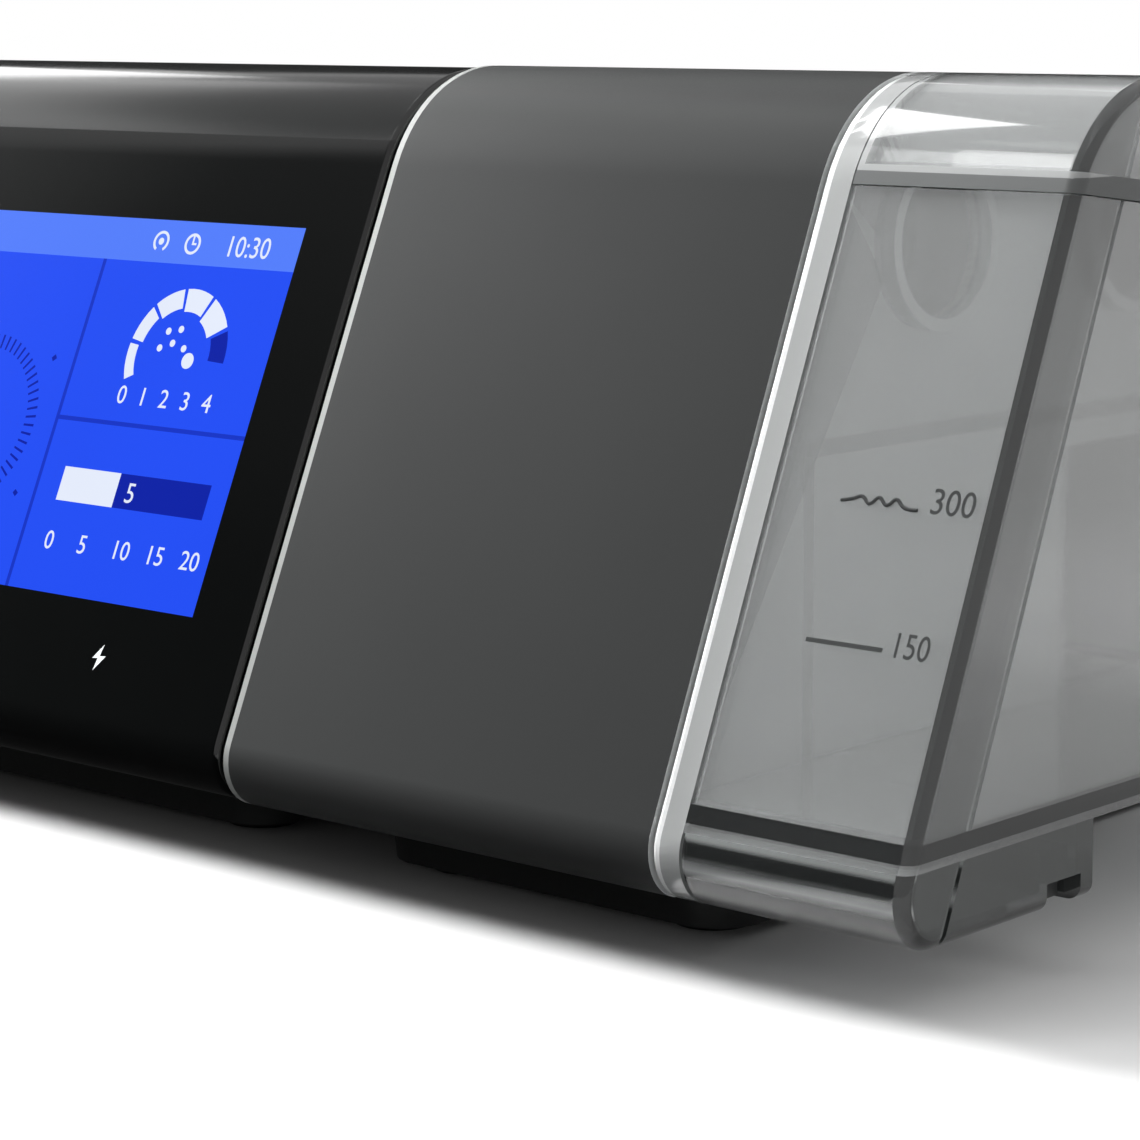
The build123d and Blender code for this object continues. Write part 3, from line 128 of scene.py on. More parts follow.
shade = add(tree, "ShaderNodeMath", {0: painted_shade_across.outputs[0], 1: behind.outputs[0]}, operation="MAXIMUM")
tone = add(tree, "ShaderNodeMix", {"Factor": seen, "B": shade.outputs[0]}, {"A": BOUNCE})
board = add(tree, "ShaderNodeBsdfDiffuse", {"Color": tone.outputs[0]})
away = add(tree, "ShaderNodeVectorMath", {0: place.outputs["Object"]}, operation="LENGTH")
far = add(tree, "ShaderNodeMapRange", {"Value": away.outputs["Value"]},
          {"From Min": WHITE_FROM, "From Max": WHITE_AT}, interpolation_type="SMOOTHSTEP")
far = add(tree, "ShaderNodeMath", {0: far.outputs[0], 1: seen}, operation="MULTIPLY")
glow = add(tree, "ShaderNodeEmission", values={"Strength": 1.0})
mixed = add(tree, "ShaderNodeMixShader", {0: far.outputs[0], 1: board.outputs[0], 2: glow.outputs[0]})
add(tree, "ShaderNodeOutputMaterial", {0: mixed.outputs[0]})
table.data.materials.append(lacquer)

# White surroundings for the eye, for gloss and for what is seen through clear plastic, and a plain level of
# light for the rest.
world = bpy.data.worlds.new("white_room")
bpy.context.scene.world = world
world.use_nodes = True
tree = world.node_tree
tree.nodes.clear()
seen = seen_rays(tree)
room = add(tree, "ShaderNodeBackground", values={"Color": linear("#ffffff"), "Strength": 0.3})
white = add(tree, "ShaderNodeBackground", values={"Color": linear("#ffffff"), "Strength": 1.0})
mixed = add(tree, "ShaderNodeMixShader", {0: seen, 1: room.outputs[0], 2: white.outputs[0]})
add(tree, "ShaderNodeOutputWorld", {0: mixed.outputs[0]})


def lamp(name, place, aim, size, power, mirrored=True):
    """A square soft box at place, turned to aim.  Gloss shows it only where it is mirrored."""
    bpy.ops.object.light_add(type="AREA", location=place)
    box = bpy.context.object
    box.name = name
    box.data.shape = "SQUARE"
    box.data.size = size
    box.data.energy = power
    box.rotation_euler = (Vector(aim) - Vector(place)).to_track_quat("-Z", "Y").to_euler()
    box.visible_camera = False
    box.visible_glossy = mirrored


# Six square soft boxes light the machine.  Gloss mirrors only the two at its left, one high and one low.
MIDDLE = (0.0, 0.0, 0.05)
lamp("soft_box_left", (-0.992, 0.401, 0.55), MIDDLE, 0.32, 1.15)
lamp("soft_box_top", (-0.2, -0.2, 1.4), MIDDLE, 0.8, 5.0, mirrored=False)
lamp("soft_box_front", (-0.68, -0.57, 1.12), (0.1, -0.04, 0.09), 0.35, 2.5, mirrored=False)
lamp("soft_box_near", (-0.22, -0.11, 0.2), (0.03, -0.04, 0.05), 0.12, 2.5, mirrored=False)
lamp("soft_box_back", (0.5, 1.0, 0.7), MIDDLE, 0.6, 4.0, mirrored=False)
lamp("strip_box_left", (-1.15, 0.1, 0.25), MIDDLE, 0.35, 2.5)


BLACK = 0.02                                 # brightness of black felt, where plain white is 1
FRONT_PART, LEFT_PART = -0.76, -0.64         # Y where a curtain's front part ends and its left part starts


def felt(name, cloth, low, high, dark=BLACK, side=0.0, axis="Z", white=1.0):
    """Makes a sheet felt that only gloss shows.  Along its axis its brightness is dark up to low and fades to
    white at high.  Its left part is brighter by side, and its front part darker by a third of that."""
    cloth.name = name
    material = bpy.data.materials.new(name)
    material.use_nodes = True
    tree = material.node_tree
    tree.nodes.clear()
    place = add(tree, "ShaderNodeTexCoord")
    split = add(tree, "ShaderNodeSeparateXYZ", {0: place.outputs["Object"]})
    rise = add(tree, "ShaderNodeMapRange", {"Value": split.outputs[axis]},
               {"From Min": low, "From Max": high, "To Min": dark, "To Max": white},
               interpolation_type="SMOOTHSTEP")
    along = add(tree, "ShaderNodeMapRange", {"Value": split.outputs["Y"]},
                {"From Min": FRONT_PART, "From Max": LEFT_PART, "To Min": -side / 3, "To Max": side})
    level = add(tree, "ShaderNodeMath", {0: rise.outputs[0], 1: along.outputs[0]}, operation="ADD")
    level = add(tree, "ShaderNodeMath", {0: level.outputs[0]}, {1: BLACK}, operation="MAXIMUM")
    glow = add(tree, "ShaderNodeEmission", {"Strength": level.outputs[0]})
    add(tree, "ShaderNodeOutputMaterial", {0: glow.outputs[0]})
    cloth.data.materials.append(material)
    for ray in ("camera", "diffuse", "transmission", "volume_scatter", "shadow"):
        setattr(cloth, "visible_" + ray, False)


def select_only(*pieces):
    """Deselects all, then selects the pieces given and makes the last one active."""
    bpy.ops.object.select_all(action="DESELECT")
    for piece in pieces:
        piece.select_set(True)
        bpy.context.view_layer.objects.active = piece


# Curtains of black felt on a round rail, one at the front left and four at the back left.  Each starts and
# ends at an angle from straight left towards the front, and has its own low, high, dark and side.
RAIL_RADIUS = 1.3
for start, end, low, high, dark, side in (
        (22, 80, 0.35, 1.9, 0.1, 0.36),
        (-34, -26, 0.58, 0.68, BLACK, 0.0),
        (-42, -34, 0.68, 0.78, BLACK, 0.0),
        (-50, -42, 0.8, 1.0, BLACK, 0.0),
        (-110, -50, 0.8, 1.4, BLACK, 0.0)):
    select_only()
    bpy.ops.mesh.primitive_cylinder_add(radius=RAIL_RADIUS, depth=high, vertices=180, end_fill_type="NOTHING",
                                        location=(0, 0, 0))
    wall = bpy.context.object
    bpy.ops.object.mode_set(mode="EDIT")
    bpy.ops.mesh.select_mode(type="FACE")
    bpy.ops.mesh.select_all(action="DESELECT")
    bpy.ops.object.mode_set(mode="OBJECT")
    for face in wall.data.polygons:
        turn = (degrees(atan2(face.center.y, face.center.x)) + 360) % 360 - 180
        face.select = not start < turn < end
    bpy.ops.object.mode_set(mode="EDIT")
    bpy.ops.mesh.delete(type="FACE")
    bpy.ops.mesh.select_all(action="SELECT")
    bpy.ops.transform.translate(value=(0, 0, high / 2))
    bpy.ops.object.mode_set(mode="OBJECT")
    felt("felt_curtain", wall, low, high, dark, side)

# One more sheet lies on the table, before the machine and to its left, where gloss would mirror white.  It is
# painted shade: only gloss shows it, so the table looks shaded in what the machine mirrors.
select_only()
bpy.ops.mesh.primitive_plane_add(size=1, location=(0, 0, 0))
sheet = bpy.context.object
bpy.ops.object.mode_set(mode="EDIT")
bpy.ops.transform.resize(value=(1.32, 1.33, 1))
bpy.ops.transform.translate(value=(-0.585, -0.615, 0.0005))
bpy.ops.object.mode_set(mode="OBJECT")
felt("painted_shade_sheet", sheet, 1.0, 2.0)

# Two grey cloths hang over the left and fade to white further left.  Two white cards hang under them, which
# the rounding of the chamber's lid mirrors.
CLOTH_HEIGHT = 1.7
for name, corners, low, high, dark in (
        ("grey_ceiling",
         ((-2.8, -0.7, CLOTH_HEIGHT), (-0.3, -0.7, CLOTH_HEIGHT), (-0.3, 1.1, CLOTH_HEIGHT),
          (-2.8, 1.1, CLOTH_HEIGHT)), -1.75, -2.05, 0.4),
        ("grey_ceiling_back",
         ((-3.6, 1.1, CLOTH_HEIGHT), (-0.3, 1.1, CLOTH_HEIGHT), (-0.3, 3.2, CLOTH_HEIGHT),
          (-3.6, 3.2, CLOTH_HEIGHT)), -2.3, -2.75, 0.5),
        ("white_card_left",
         ((-0.735, 0.312, 1.164), (-0.732, -0.312, 1.187), (-0.666, 0.035, 1.265)), 0.0, 1.0, 6.0),
        ("white_card_right",
         ((-0.69, -0.418, 1.182), (-0.6, -0.419, 1.241), (-0.604, -0.7, 1.103), (-0.69, -0.697, 1.041)),
         0.0, 1.0, 3.0)):
    select_only()
    bpy.ops.mesh.primitive_circle_add(vertices=len(corners), radius=1, fill_type="NGON", location=(0, 0, 0))
    card = bpy.context.object
    for point, spot in zip(card.data.vertices, corners):
        point.co = spot
    felt(name, card, low, high, dark, axis="X", white=1.7)


# ---------------------------------------------------------------- plinths, feet and screws
def dress(material, *names):
    """Gives solids of the frame their finish."""
    for name in names:
        slots = frame["nodes"][name].data.materials
        slots.clear()
        slots.append(material)


def skin(name, material, angle=28):
    """A solid's own surface with its points merged and its curves smooth, in place of the solid.  An edge
    that turns by more than the angle stays sharp."""
    source = frame["nodes"][name]
    piece = bpy.data.objects.new(name + "_skin", source.data.copy())
    bpy.context.scene.collection.objects.link(piece)
    piece.data.materials.clear()
    piece.data.materials.append(material)
    select_only(piece)
    bpy.ops.object.mode_set(mode="EDIT")
    bpy.ops.mesh.select_all(action="SELECT")
    bpy.ops.mesh.remove_doubles(threshold=0.000002)
    bpy.ops.mesh.faces_shade_smooth()
    bpy.ops.mesh.select_mode(type="EDGE")
    bpy.ops.mesh.select_all(action="DESELECT")
    bpy.ops.mesh.edges_select_sharp(sharpness=radians(angle))
    bpy.ops.mesh.mark_sharp()
    bpy.ops.object.mode_set(mode="OBJECT")
    bpy.ops.object.modifier_add(type="WEIGHTED_NORMAL")
    piece.modifiers[0].keep_sharp = True
    bpy.ops.object.modifier_apply(modifier=piece.modifiers[0].name)
    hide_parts(name)
    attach(piece, source["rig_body"])
    return piece


def drifting(tree, colour, shade, per_metre, detail):
    """A colour that drifts to shade and back over the surface, about so many times in a metre."""
    place = add(tree, "ShaderNodeTexCoord")
    drift = add(tree, "ShaderNodeTexNoise", {"Vector": place.outputs["Object"]},
                {"Scale": per_metre, "Detail": detail})
    tint = add(tree, "ShaderNodeMix", {"Factor": drift.outputs["Fac"]}, data_type="RGBA")
    tint.inputs[6].default_value = colour
    tint.inputs[7].default_value = shade
    return tint.outputs[2]


def moulded(name, colour, shade, grain, relief, roughness, spread=0.06, **sockets):
    """Moulded plastic: colour drifts to shade over a few centimetres, with a fine grain of the given size in
    millimetres, whose height is relief, also in millimetres."""
    material = bpy.data.materials.new(name)
    material.use_nodes = True
    tree = material.node_tree
    surface = tree.nodes["Principled BSDF"]
    tree.links.new(drifting(tree, linear(colour), linear(shade), 30.0, 2.0), surface.inputs["Base Color"])
    place = add(tree, "ShaderNodeTexCoord")
    fine = add(tree, "ShaderNodeTexNoise", {"Vector": place.outputs["Object"]},
               {"Scale": 1000.0 / grain, "Detail": 2.0})
    sheen = add(tree, "ShaderNodeMapRange", {"Value": fine.outputs["Fac"]},
                {"To Min": roughness - spread, "To Max": roughness + spread})
    tree.links.new(sheen.outputs[0], surface.inputs["Roughness"])
    bump = add(tree, "ShaderNodeBump", {"Height": fine.outputs["Fac"]},
               {"Distance": relief / 1000, "Strength": 1.0})
    tree.links.new(bump.outputs[0], surface.inputs["Normal"])
    for socket, value in sockets.items():
        surface.inputs[socket.replace("_", " ")].default_value = value
    return material


# Both units stand on plinths, each moulded in one with its base plate, with screws from below.  Black ABS,
# whose texture keeps it an even, dull black under the shells.
base_plastic = moulded("black_textured_abs", "#141515", "#1b1c1c", 0.6, 0.02, 0.6, Specular_IOR_Level=0.3)
skin("main_base", base_plastic)
skin("humidifier_base", base_plastic)

# Eight stick-on feet in shallow seats under the plinths.  Moulded black silicone rubber, duller still than
# the plastic round it.
rubber = moulded("black_silicone_rubber", "#101010", "#181818", 0.4, 0.01, 0.75, Specular_IOR_Level=0.3)
dress(rubber, "rubber_feet")


def turned(name, colour, roughness, anisotropy=0.0, spread=0.08):
    """Bare metal with fine tool marks, about a millimetre wide."""
    material = bpy.data.materials.new(name)
    material.use_nodes = True
    tree = material.node_tree
    surface = tree.nodes["Principled BSDF"]
    surface.inputs["Base Color"].default_value = linear(colour)
    surface.inputs["Metallic"].default_value = 1.0
    surface.inputs["Anisotropic"].default_value = anisotropy
    place = add(tree, "ShaderNodeTexCoord")
    marks = add(tree, "ShaderNodeTexNoise", {"Vector": place.outputs["Object"]},
                {"Scale": 900.0, "Detail": 3.0})
    sheen = add(tree, "ShaderNodeMapRange", {"Value": marks.outputs["Fac"]},
                {"To Min": roughness - spread, "To Max": roughness + spread})
    tree.links.new(sheen.outputs[0], surface.inputs["Roughness"])
    return material


# Screws, shafts and pins, and the springs under the heater: zinc plated steel, a pale grey with a soft
# shine.
zinc = turned("zinc_plated_steel", "#a8a9ab", 0.35)
dress(zinc, "base_screws", "rotor_shaft", "encoder_plunger", "knob_shaft", "heater_springs", "lid_hinge_pin",
      "lever_pin")

# ---------------------------------------------------------------- display unit
# Fascia: the leaning front with the screen's window and the holes for knob and keys, and posts behind it for
# their board.  Black gloss ABS moulded against a polished tool: it mirrors softly and has almost no grain.
piano_black = moulded("piano_black_abs", "#070808", "#0a0b0b", 2.0, 0.0004, 0.08, spread=0.01,
                      Specular_IOR_Level=0.4)
skin("display_fascia", piano_black)

# Housing: top, back, left end and the wall to the humidifier, with small hinged doors at the back and the
# left end.  The same plastic in a lighter, half gloss black, which spreads what it mirrors into soft bands.
housing_black = moulded("half_gloss_black_abs", "#131414", "#181919", 0.8, 0.001, 0.13, spread=0.02,
                        Specular_IOR_Level=0.5)
skin("main_housing", housing_black)
skin("filter_cover", housing_black)
skin("card_door", housing_black)

# Lit colour screen: a panel in a black frame behind a hard-coated lens, which sits flush in the fascia.  The
# picture lies on the lens's face.
LEAN = radians(23.2)                         # the machine's front leans back from upright
LENS_THICKNESS = 0.0025
SCREEN_WIDTH, SCREEN_HEIGHT = 70.08, 52.56   # the lit picture, in millimetres
lens_low, lens_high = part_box("screen_window")
picture_up = Vector((0, sin(LEAN), cos(LEAN)))
picture_out = Vector((0, -cos(LEAN), sin(LEAN)))
picture_corner = Vector((lens_high.x, lens_low.y, lens_low.z + LENS_THICKNESS * sin(LEAN)))


def glowing(name, colour):
    """A patch of the lit picture, a little uneven, as a backlight is."""
    material = bpy.data.materials.new(name)
    material.use_nodes = True
    tree = material.node_tree
    surface = tree.nodes["Principled BSDF"]
    surface.inputs["Base Color"].default_value = linear("#050505")
    surface.inputs["Roughness"].default_value = 0.12
    surface.inputs["Specular IOR Level"].default_value = 0.2
    surface.inputs["Emission Strength"].default_value = 1.0
    dimmer = tuple(0.94 * c for c in linear(colour)[:3]) + (1.0,)
    tree.links.new(drifting(tree, linear(colour), dimmer, 40.0, 1.0), surface.inputs["Emission Color"])
    return material


dress(glowing("lit_blue", "#2350f8"), "screen_window")
dress(moulded("black_panel_frame", "#0a0a0a", "#101010", 1.0, 0.005, 0.5), "lcd_module")


FILM = 0.02                                  # thickness of a patch or a print, in millimetres


def tile(x0, x1, y0, y1):
    """A flat patch, in millimetres to the right of and above the corner that it is laid from."""
    select_only()
    bpy.ops.mesh.primitive_plane_add(size=1, location=(0, 0, 0))
    patch = bpy.context.object
    bpy.ops.object.mode_set(mode="EDIT")
    bpy.ops.mesh.select_all(action="SELECT")
    bpy.ops.transform.resize(value=(x1 - x0, y1 - y0, 1))
    bpy.ops.transform.translate(value=((x0 + x1) / 2, (y0 + y1) / 2, 0))
    bpy.ops.mesh.extrude_region_move(TRANSFORM_OT_translate={"value": (0, 0, FILM)})
    bpy.ops.object.mode_set(mode="OBJECT")
    return patch


def arc(x, y, inner, outer, start, sweep, steps=0):
    """A flat part of a ring about (x, y), from the angle start through sweep, in degrees: a line from the
    inner to the outer radius, spun about the middle."""
    select_only()
    bpy.ops.mesh.primitive_plane_add(size=1, location=(0, 0, 0))
    patch = bpy.context.object
    bpy.ops.object.mode_set(mode="EDIT")
    bpy.ops.mesh.select_all(action="DESELECT")
    bpy.ops.object.mode_set(mode="OBJECT")
    for vertex in patch.data.vertices:
        vertex.select = vertex.co.y > 0
    bpy.ops.object.mode_set(mode="EDIT")
    bpy.ops.mesh.delete(type="VERT")
    bpy.ops.object.mode_set(mode="OBJECT")
    for vertex in patch.data.vertices:
        reach = outer if vertex.co.x > 0 else inner
        vertex.co = (x + reach * cos(radians(start)), y + reach * sin(radians(start)), 0)
    bpy.ops.object.mode_set(mode="EDIT")
    bpy.ops.mesh.select_all(action="SELECT")
    steps = steps or max(2, int(abs(sweep) / 6))
    bpy.ops.mesh.spin(steps=steps, angle=-radians(sweep), center=(x, y, 0), axis=(0, 0, 1))
    bpy.ops.mesh.select_all(action="SELECT")
    bpy.ops.mesh.remove_doubles(threshold=0.0001)
    bpy.ops.mesh.extrude_region_move(TRANSFORM_OT_translate={"value": (0, 0, FILM)})
    bpy.ops.mesh.select_all(action="SELECT")
    bpy.ops.mesh.normals_make_consistent(inside=False)
    bpy.ops.object.mode_set(mode="OBJECT")
    return patch


FIGURE_HEIGHT = 0.72                         # a figure's height, where the size of its type is 1


def digits(text, x, y, height, width=1.0):
    """Plain numbers, with their lower left corner at (x, y), made narrower by width."""
    select_only()
    bpy.ops.object.text_add(location=(0, 0, 0))
    line = bpy.context.object
    line.data.body = text
    line.data.size = height / FIGURE_HEIGHT
    line.data.extrude = FILM / 2
    line.data.resolution_u = 4
    bpy.ops.object.convert(target="MESH")
    line = bpy.context.object
    bpy.ops.object.mode_set(mode="EDIT")
    bpy.ops.mesh.select_all(action="SELECT")
    bpy.ops.transform.resize(value=(width, 1, 1), center_override=(0, 0, 0))
    bpy.ops.transform.translate(value=(x, y, FILM / 2))
    bpy.ops.object.mode_set(mode="OBJECT")
    return line


def laid(name, patches, corner, up, out, material, body, lift=0.0):
    """Joins flat patches, turns millimetres to metres and lays them on a face with its corner, up and out."""
    select_only(*patches)
    if len(patches) > 1:
        bpy.ops.object.join()
    piece = bpy.context.view_layer.objects.active
    piece.name = name
    turn = Matrix((up.cross(out), up, out)).transposed().to_4x4()
    piece.matrix_world = Matrix.Translation(corner + out * lift) @ turn @ Matrix.Scale(0.001, 4)
    bpy.ops.object.transform_apply(location=True, rotation=True, scale=True)
    piece.data.materials.clear()
    piece.data.materials.append(material)
    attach(piece, body)


def on_screen(name, patches, material, lift=0.0):
    laid(name, patches, picture_corner, picture_up, picture_out, material, "machine", lift)


# The picture: a paler bar with the hour at the top, a pressure dial at the left, the moisture level and the
# ramp time at the right.  Plain numbers stand where such a picture has words.
BAR_LOW = 46.5                               # lower edge of the top bar
DIVIDER_X, DIVIDER_HALF = -36.4, 0.3         # line between the dial and the rest
CROSS_LOW, CROSS_HIGH = 23.5, 24.1           # line between moisture and ramp time
GAUGE_OUTER = 9.3
RAMP_LEFT, RAMP_NOW, RAMP_RIGHT = -31.8, -20.7, -3.4
RAMP_LOW, RAMP_HIGH = 12.5, 17.2
on_screen("picture_top_bar", [tile(-SCREEN_WIDTH, 0, BAR_LOW, SCREEN_HEIGHT)],
          glowing("lit_pale_blue", "#5580ff"))
on_screen("picture_dividers", [tile(DIVIDER_X - DIVIDER_HALF, DIVIDER_X + DIVIDER_HALF, 0, BAR_LOW),
                               tile(DIVIDER_X, 0, CROSS_LOW, CROSS_HIGH)],
          glowing("lit_mid_blue", "#1636c8"))

# Dark blue: the dial's ticks and two dots beside them, the end of the moisture gauge, and the rest of the
# ramp bar.
dial = (-53.2, 22.0)
ticks = [arc(*dial, 10.5, 12.5, turn, 1.6, steps=1) for turn in range(-90, 270, 6)]
dots = [arc(*dial, 15.6, 16.4, 37 * side, 2.4, steps=1) for side in (-1, 1)]
gauge = (-17.2, 33.9)
dark = ticks + dots + [arc(*gauge, 6.3, GAUGE_OUTER, -3, 28),
                       tile(RAMP_NOW, RAMP_RIGHT, RAMP_LOW, RAMP_HIGH)]
on_screen("picture_dark_blue", dark, glowing("lit_dark_blue", "#0a22a8"))

# White: the gauge's five parts, which grow wider to the right, and its drops, the ramp bar, a ring in the
# dial, an open ring and a clock beside the hour, and all the numbers.
drops = [arc(gauge[0] + dx, gauge[1] + dy, 0, radius, 0, 360) for dx, dy, radius in
         ((-2.6, 3.2, 0.5), (-0.3, 3.6, 0.5), (-3.4, 0.8, 0.5), (-1.2, 1.6, 0.5), (1.2, 1.0, 0.5),
          (2.6, -0.6, 1.1))]
white = [arc(*gauge, 7.6 - 0.014 * (205 - turn), GAUGE_OUTER, turn, -32)
         for turn in (205, 169, 133, 97, 61)]
white += drops
white += [tile(RAMP_LEFT, RAMP_NOW, RAMP_LOW, RAMP_HIGH), arc(*dial, 4.0, 4.6, 0, 360)]
open_ring, clock = (-26.4, 49.5), (-20.2, 49.4)
white += [arc(*open_ring, 1.1, 1.5, -60, 300), arc(*clock, 1.1, 1.5, 0, 360), arc(*open_ring, 0, 0.5, 0, 360),
          tile(-20.35, -20.05, 49.4, 50.5), tile(-20.35, -19.5, 49.25, 49.55)]
white += [digits("10:30", -13.8, 48.0, 3.0, width=0.92), digits("5", -18.9, 13.4, 2.8)]
white += [digits("1", dial[0] - 1.9, dial[1] - 1.5, 3.2, width=0.9),
          digits("0", dial[0] + 0.1, dial[1] - 1.5, 3.2, width=0.9)]
white += [digits(str(n), -26.0 + 4.1 * n, 26.6, 2.6) for n in range(5)]
white += [digits(str(5 * n), -31.6 + 6.6 * n, 5.8, 2.6) for n in range(5)]
on_screen("picture_white", white, glowing("lit_white", "#e8efff"), lift=0.00002)

# A small white mark for mains power, pad printed on the fascia under the screen: a thin, dull ink.
select_only()
bpy.ops.mesh.primitive_circle_add(vertices=6, radius=1, fill_type="NGON", location=(0, 0, 0))
bolt = bpy.context.object
for point, (x, y) in zip(bolt.data.vertices, ((-14.3, -5.4), (-15.9, -7.4), (-14.9, -7.3), (-15.2, -9.0),
                                              (-13.5, -6.9), (-14.6, -7.0))):
    point.co = (x, y, 0)
bpy.ops.object.mode_set(mode="EDIT")
bpy.ops.mesh.select_all(action="SELECT")
bpy.ops.mesh.extrude_region_move(TRANSFORM_OT_translate={"value": (0, 0, FILM)})
bpy.ops.mesh.select_all(action="SELECT")
bpy.ops.mesh.normals_make_consistent(inside=False)
bpy.ops.object.mode_set(mode="OBJECT")
print_white = moulded("white_pad_print", "#dfe2e4", "#d4d8da", 0.3, 0.001, 0.5)
on_screen("power_mark", [bolt], print_white)

# ---------------------------------------------------------------- controls
# Knob on the encoder's shaft: a cap with thirty flutes and a dished top, over a thin ring.  The cap's
# soft-touch finish looks like dull rubber, and the ring has a satin silver paint.
soft_touch = moulded("soft_touch_black", "#121212", "#171717", 0.3, 0.006, 0.6, Specular_IOR_Level=0.35)
skin("knob_cap", soft_touch)
silver = moulded("satin_silver_paint", "#9c9e9c", "#a4a6a4", 0.15, 0.002, 0.3, Metallic=0.75)
skin("knob_ring", silver)

# Three round keys with dished faces, held behind the shells by their flanges.  Moulded dark grey ABS, whose
# fine grain gives it a satin sheen.
key_grey = moulded("satin_grey_abs", "#3a3b3b", "#404141", 0.5, 0.004, 0.45)
for name in ("home_button", "ramp_button", "start_button"):
    skin(name, key_grey)

# ---------------------------------------------------------------- inside the display unit
# Circuit boards under green solder mask.  Sockets, switches and air ducts are moulded black nylon, and the
# inlet's contacts are gold plated.
dress(moulded("green_solder_mask", "#0f4023", "#0c3a1f", 1.2, 0.01, 0.35), "main_board", "control_board")
black_nylon = moulded("black_nylon", "#121314", "#18191a", 0.7, 0.01, 0.5)
dress(black_nylon, "card_reader", "power_inlet", "encoder", "key_switches", "inlet_duct", "outlet_duct")
dress(turned("gold_plated_brass", "#d0a040", 0.25), "inlet_contacts")

# Blower: a scroll of dark polypropylene in two halves, with a white nylon wheel and an aluminium motor, over
# a block of black foam.  A white fibre pad filters the air behind the louvred cover.
dress(moulded("dark_polypropylene", "#2c2d2e", "#333435", 0.8, 0.01, 0.45), "volute_upper", "volute_lower")
dress(moulded("white_nylon", "#d8d8d4", "#cfcfca", 0.8, 0.01, 0.45), "impeller")
dress(turned("turned_aluminium", "#c4c6c8", 0.3, anisotropy=0.6), "blower_motor")
dress(moulded("open_cell_foam", "#161616", "#262626", 1.6, 0.5, 0.9), "silencer_foam")
dress(moulded("white_fibre_pad", "#dedcd4", "#cbc9c0", 0.4, 0.15, 0.9), "air_filter")

# ---------------------------------------------------------------- humidifier unit
# Cover of dark grey ABS with a fine spark-eroded grain, which gives it a broad, soft sheen.  Its end face
# beside the chamber is painted pale: a painted highlight.
cover_grey = moulded("satin_dark_grey_abs", "#393a3a", "#3d3e3e", 0.25, 0.004, 0.38, Specular_IOR_Level=0.3)
painted_highlight_end = moulded("painted_highlight_cover_end", "#dfe1e1", "#d8dada", 0.15, 0.001, 0.35)
COVER_END = 0.0803                           # faces to the right of this are the cover's end face
cover = skin("humidifier_cover", cover_grey)
cover.data.materials.append(painted_highlight_end)
for face in cover.data.polygons:
    if face.normal.x > 0.9 and face.center.x > COVER_END:
        face.material_index = 1

# A bevelled trim in satin silver paint round the cover's left end, and the black rubber gasket in the gap
# between the two units.
edge_silver = moulded("satin_pale_silver_paint", "#a8aaa8", "#b0b2b0", 0.15, 0.002, 0.35, Metallic=0.25)
skin("cover_edge_trim", edge_silver, angle=20)
dress(rubber, "seam_gasket")

# Docking wall, with the liner of the bay that takes the chamber's tongue, of pale grey ABS.  Soft grey
# silicone seals its ports and the heat plate, and the 22 mm hose fitting is satin mid grey ABS.
bay_grey = moulded("pale_grey_abs", "#a9abab", "#b0b2b2", 3.0, 0.001, 0.5)
skin("docking_bay", bay_grey)
seal_grey = moulded("grey_silicone", "#4f5152", "#575959", 0.5, 0.004, 0.55)
dress(seal_grey, "port_seals", "plate_seal")
skin("air_outlet", moulded("satin_mid_grey_abs", "#56585a", "#5c5e60", 0.5, 0.004, 0.45))

# Heater: a ground aluminium plate on disc springs, and the steel plate in the chamber's floor above it.  Both
# shine along the grinding marks.
plate_metal = turned("ground_plate_metal", "#b9bbbd", 0.28, anisotropy=0.5)
dress(plate_metal, "heater_plate", "heat_plate")


# ---------------------------------------------------------------- water chamber
def see_through(name, colour, shade, clearness, roughness, gloss, lets_by):
    """Clear plastic.  A pane lets the share lets_by of each lamp's light through to what is behind it."""
    material = bpy.data.materials.new(name)
    material.use_nodes = True
    tree = material.node_tree
    surface = tree.nodes["Principled BSDF"]
    surface.inputs["Transmission Weight"].default_value = clearness
    surface.inputs["IOR"].default_value = 1.45
    surface.inputs["Roughness"].default_value = roughness
    surface.inputs["Coat Weight"].default_value = gloss
    surface.inputs["Coat Roughness"].default_value = 0.02
    tree.links.new(drifting(tree, linear(colour), linear(shade), 25.0, 3.0), surface.inputs["Base Color"])
    path = add(tree, "ShaderNodeLightPath")
    passed = add(tree, "ShaderNodeBsdfTransparent", values={"Color": (lets_by, lets_by, lets_by, 1.0)})
    pane = add(tree, "ShaderNodeMixShader",
               {0: path.outputs["Is Shadow Ray"], 1: surface.outputs[0], 2: passed.outputs[0]})
    tree.links.new(pane.outputs[0], tree.nodes["Material Output"].inputs[0])
    return material


# Tub, lid, floor, skirt and port tubes: injection moulded clear polycarbonate.  It is glossy outside and
# faintly grey, with a soft haze that blurs what is inside.
clear = see_through("clear_polycarbonate", "#d4d6d6", "#cccece", 0.8, 0.06, 1.0, 0.75)

# Where a wall turns a corner, and round the floor's edge, the eye looks along the plastic, and there it is
# painted dark: painted shade.
painted_dark_edge = see_through("clear_polycarbonate_painted_dark_edge", "#3a3c3c", "#343636", 0.4, 0.15, 0.3, 0.5)

# The rim at the left is painted pale, a painted highlight, and palest at its lip.  The right wall's front
# strip and the skirt's right side are painted greyer: painted shade.
painted_highlight_lip = see_through("clear_polycarbonate_painted_highlight_lip", "#fcfefe", "#f6f8f8", 0.05, 0.1, 1.0, 0.75)
painted_highlight = see_through("clear_polycarbonate_painted_highlight", "#d0d2d2", "#c8caca", 0.3, 0.1, 1.0, 0.75)
painted_shade_strip = see_through("clear_polycarbonate_painted_shade_strip", "#8c8e8e", "#868888", 0.6, 0.1, 0.6, 0.6)
painted_shade_skirt_side = see_through("clear_polycarbonate_painted_shade_skirt_side", "#6a6e6d", "#646867", 0.5, 0.1, 0.5, 0.6)
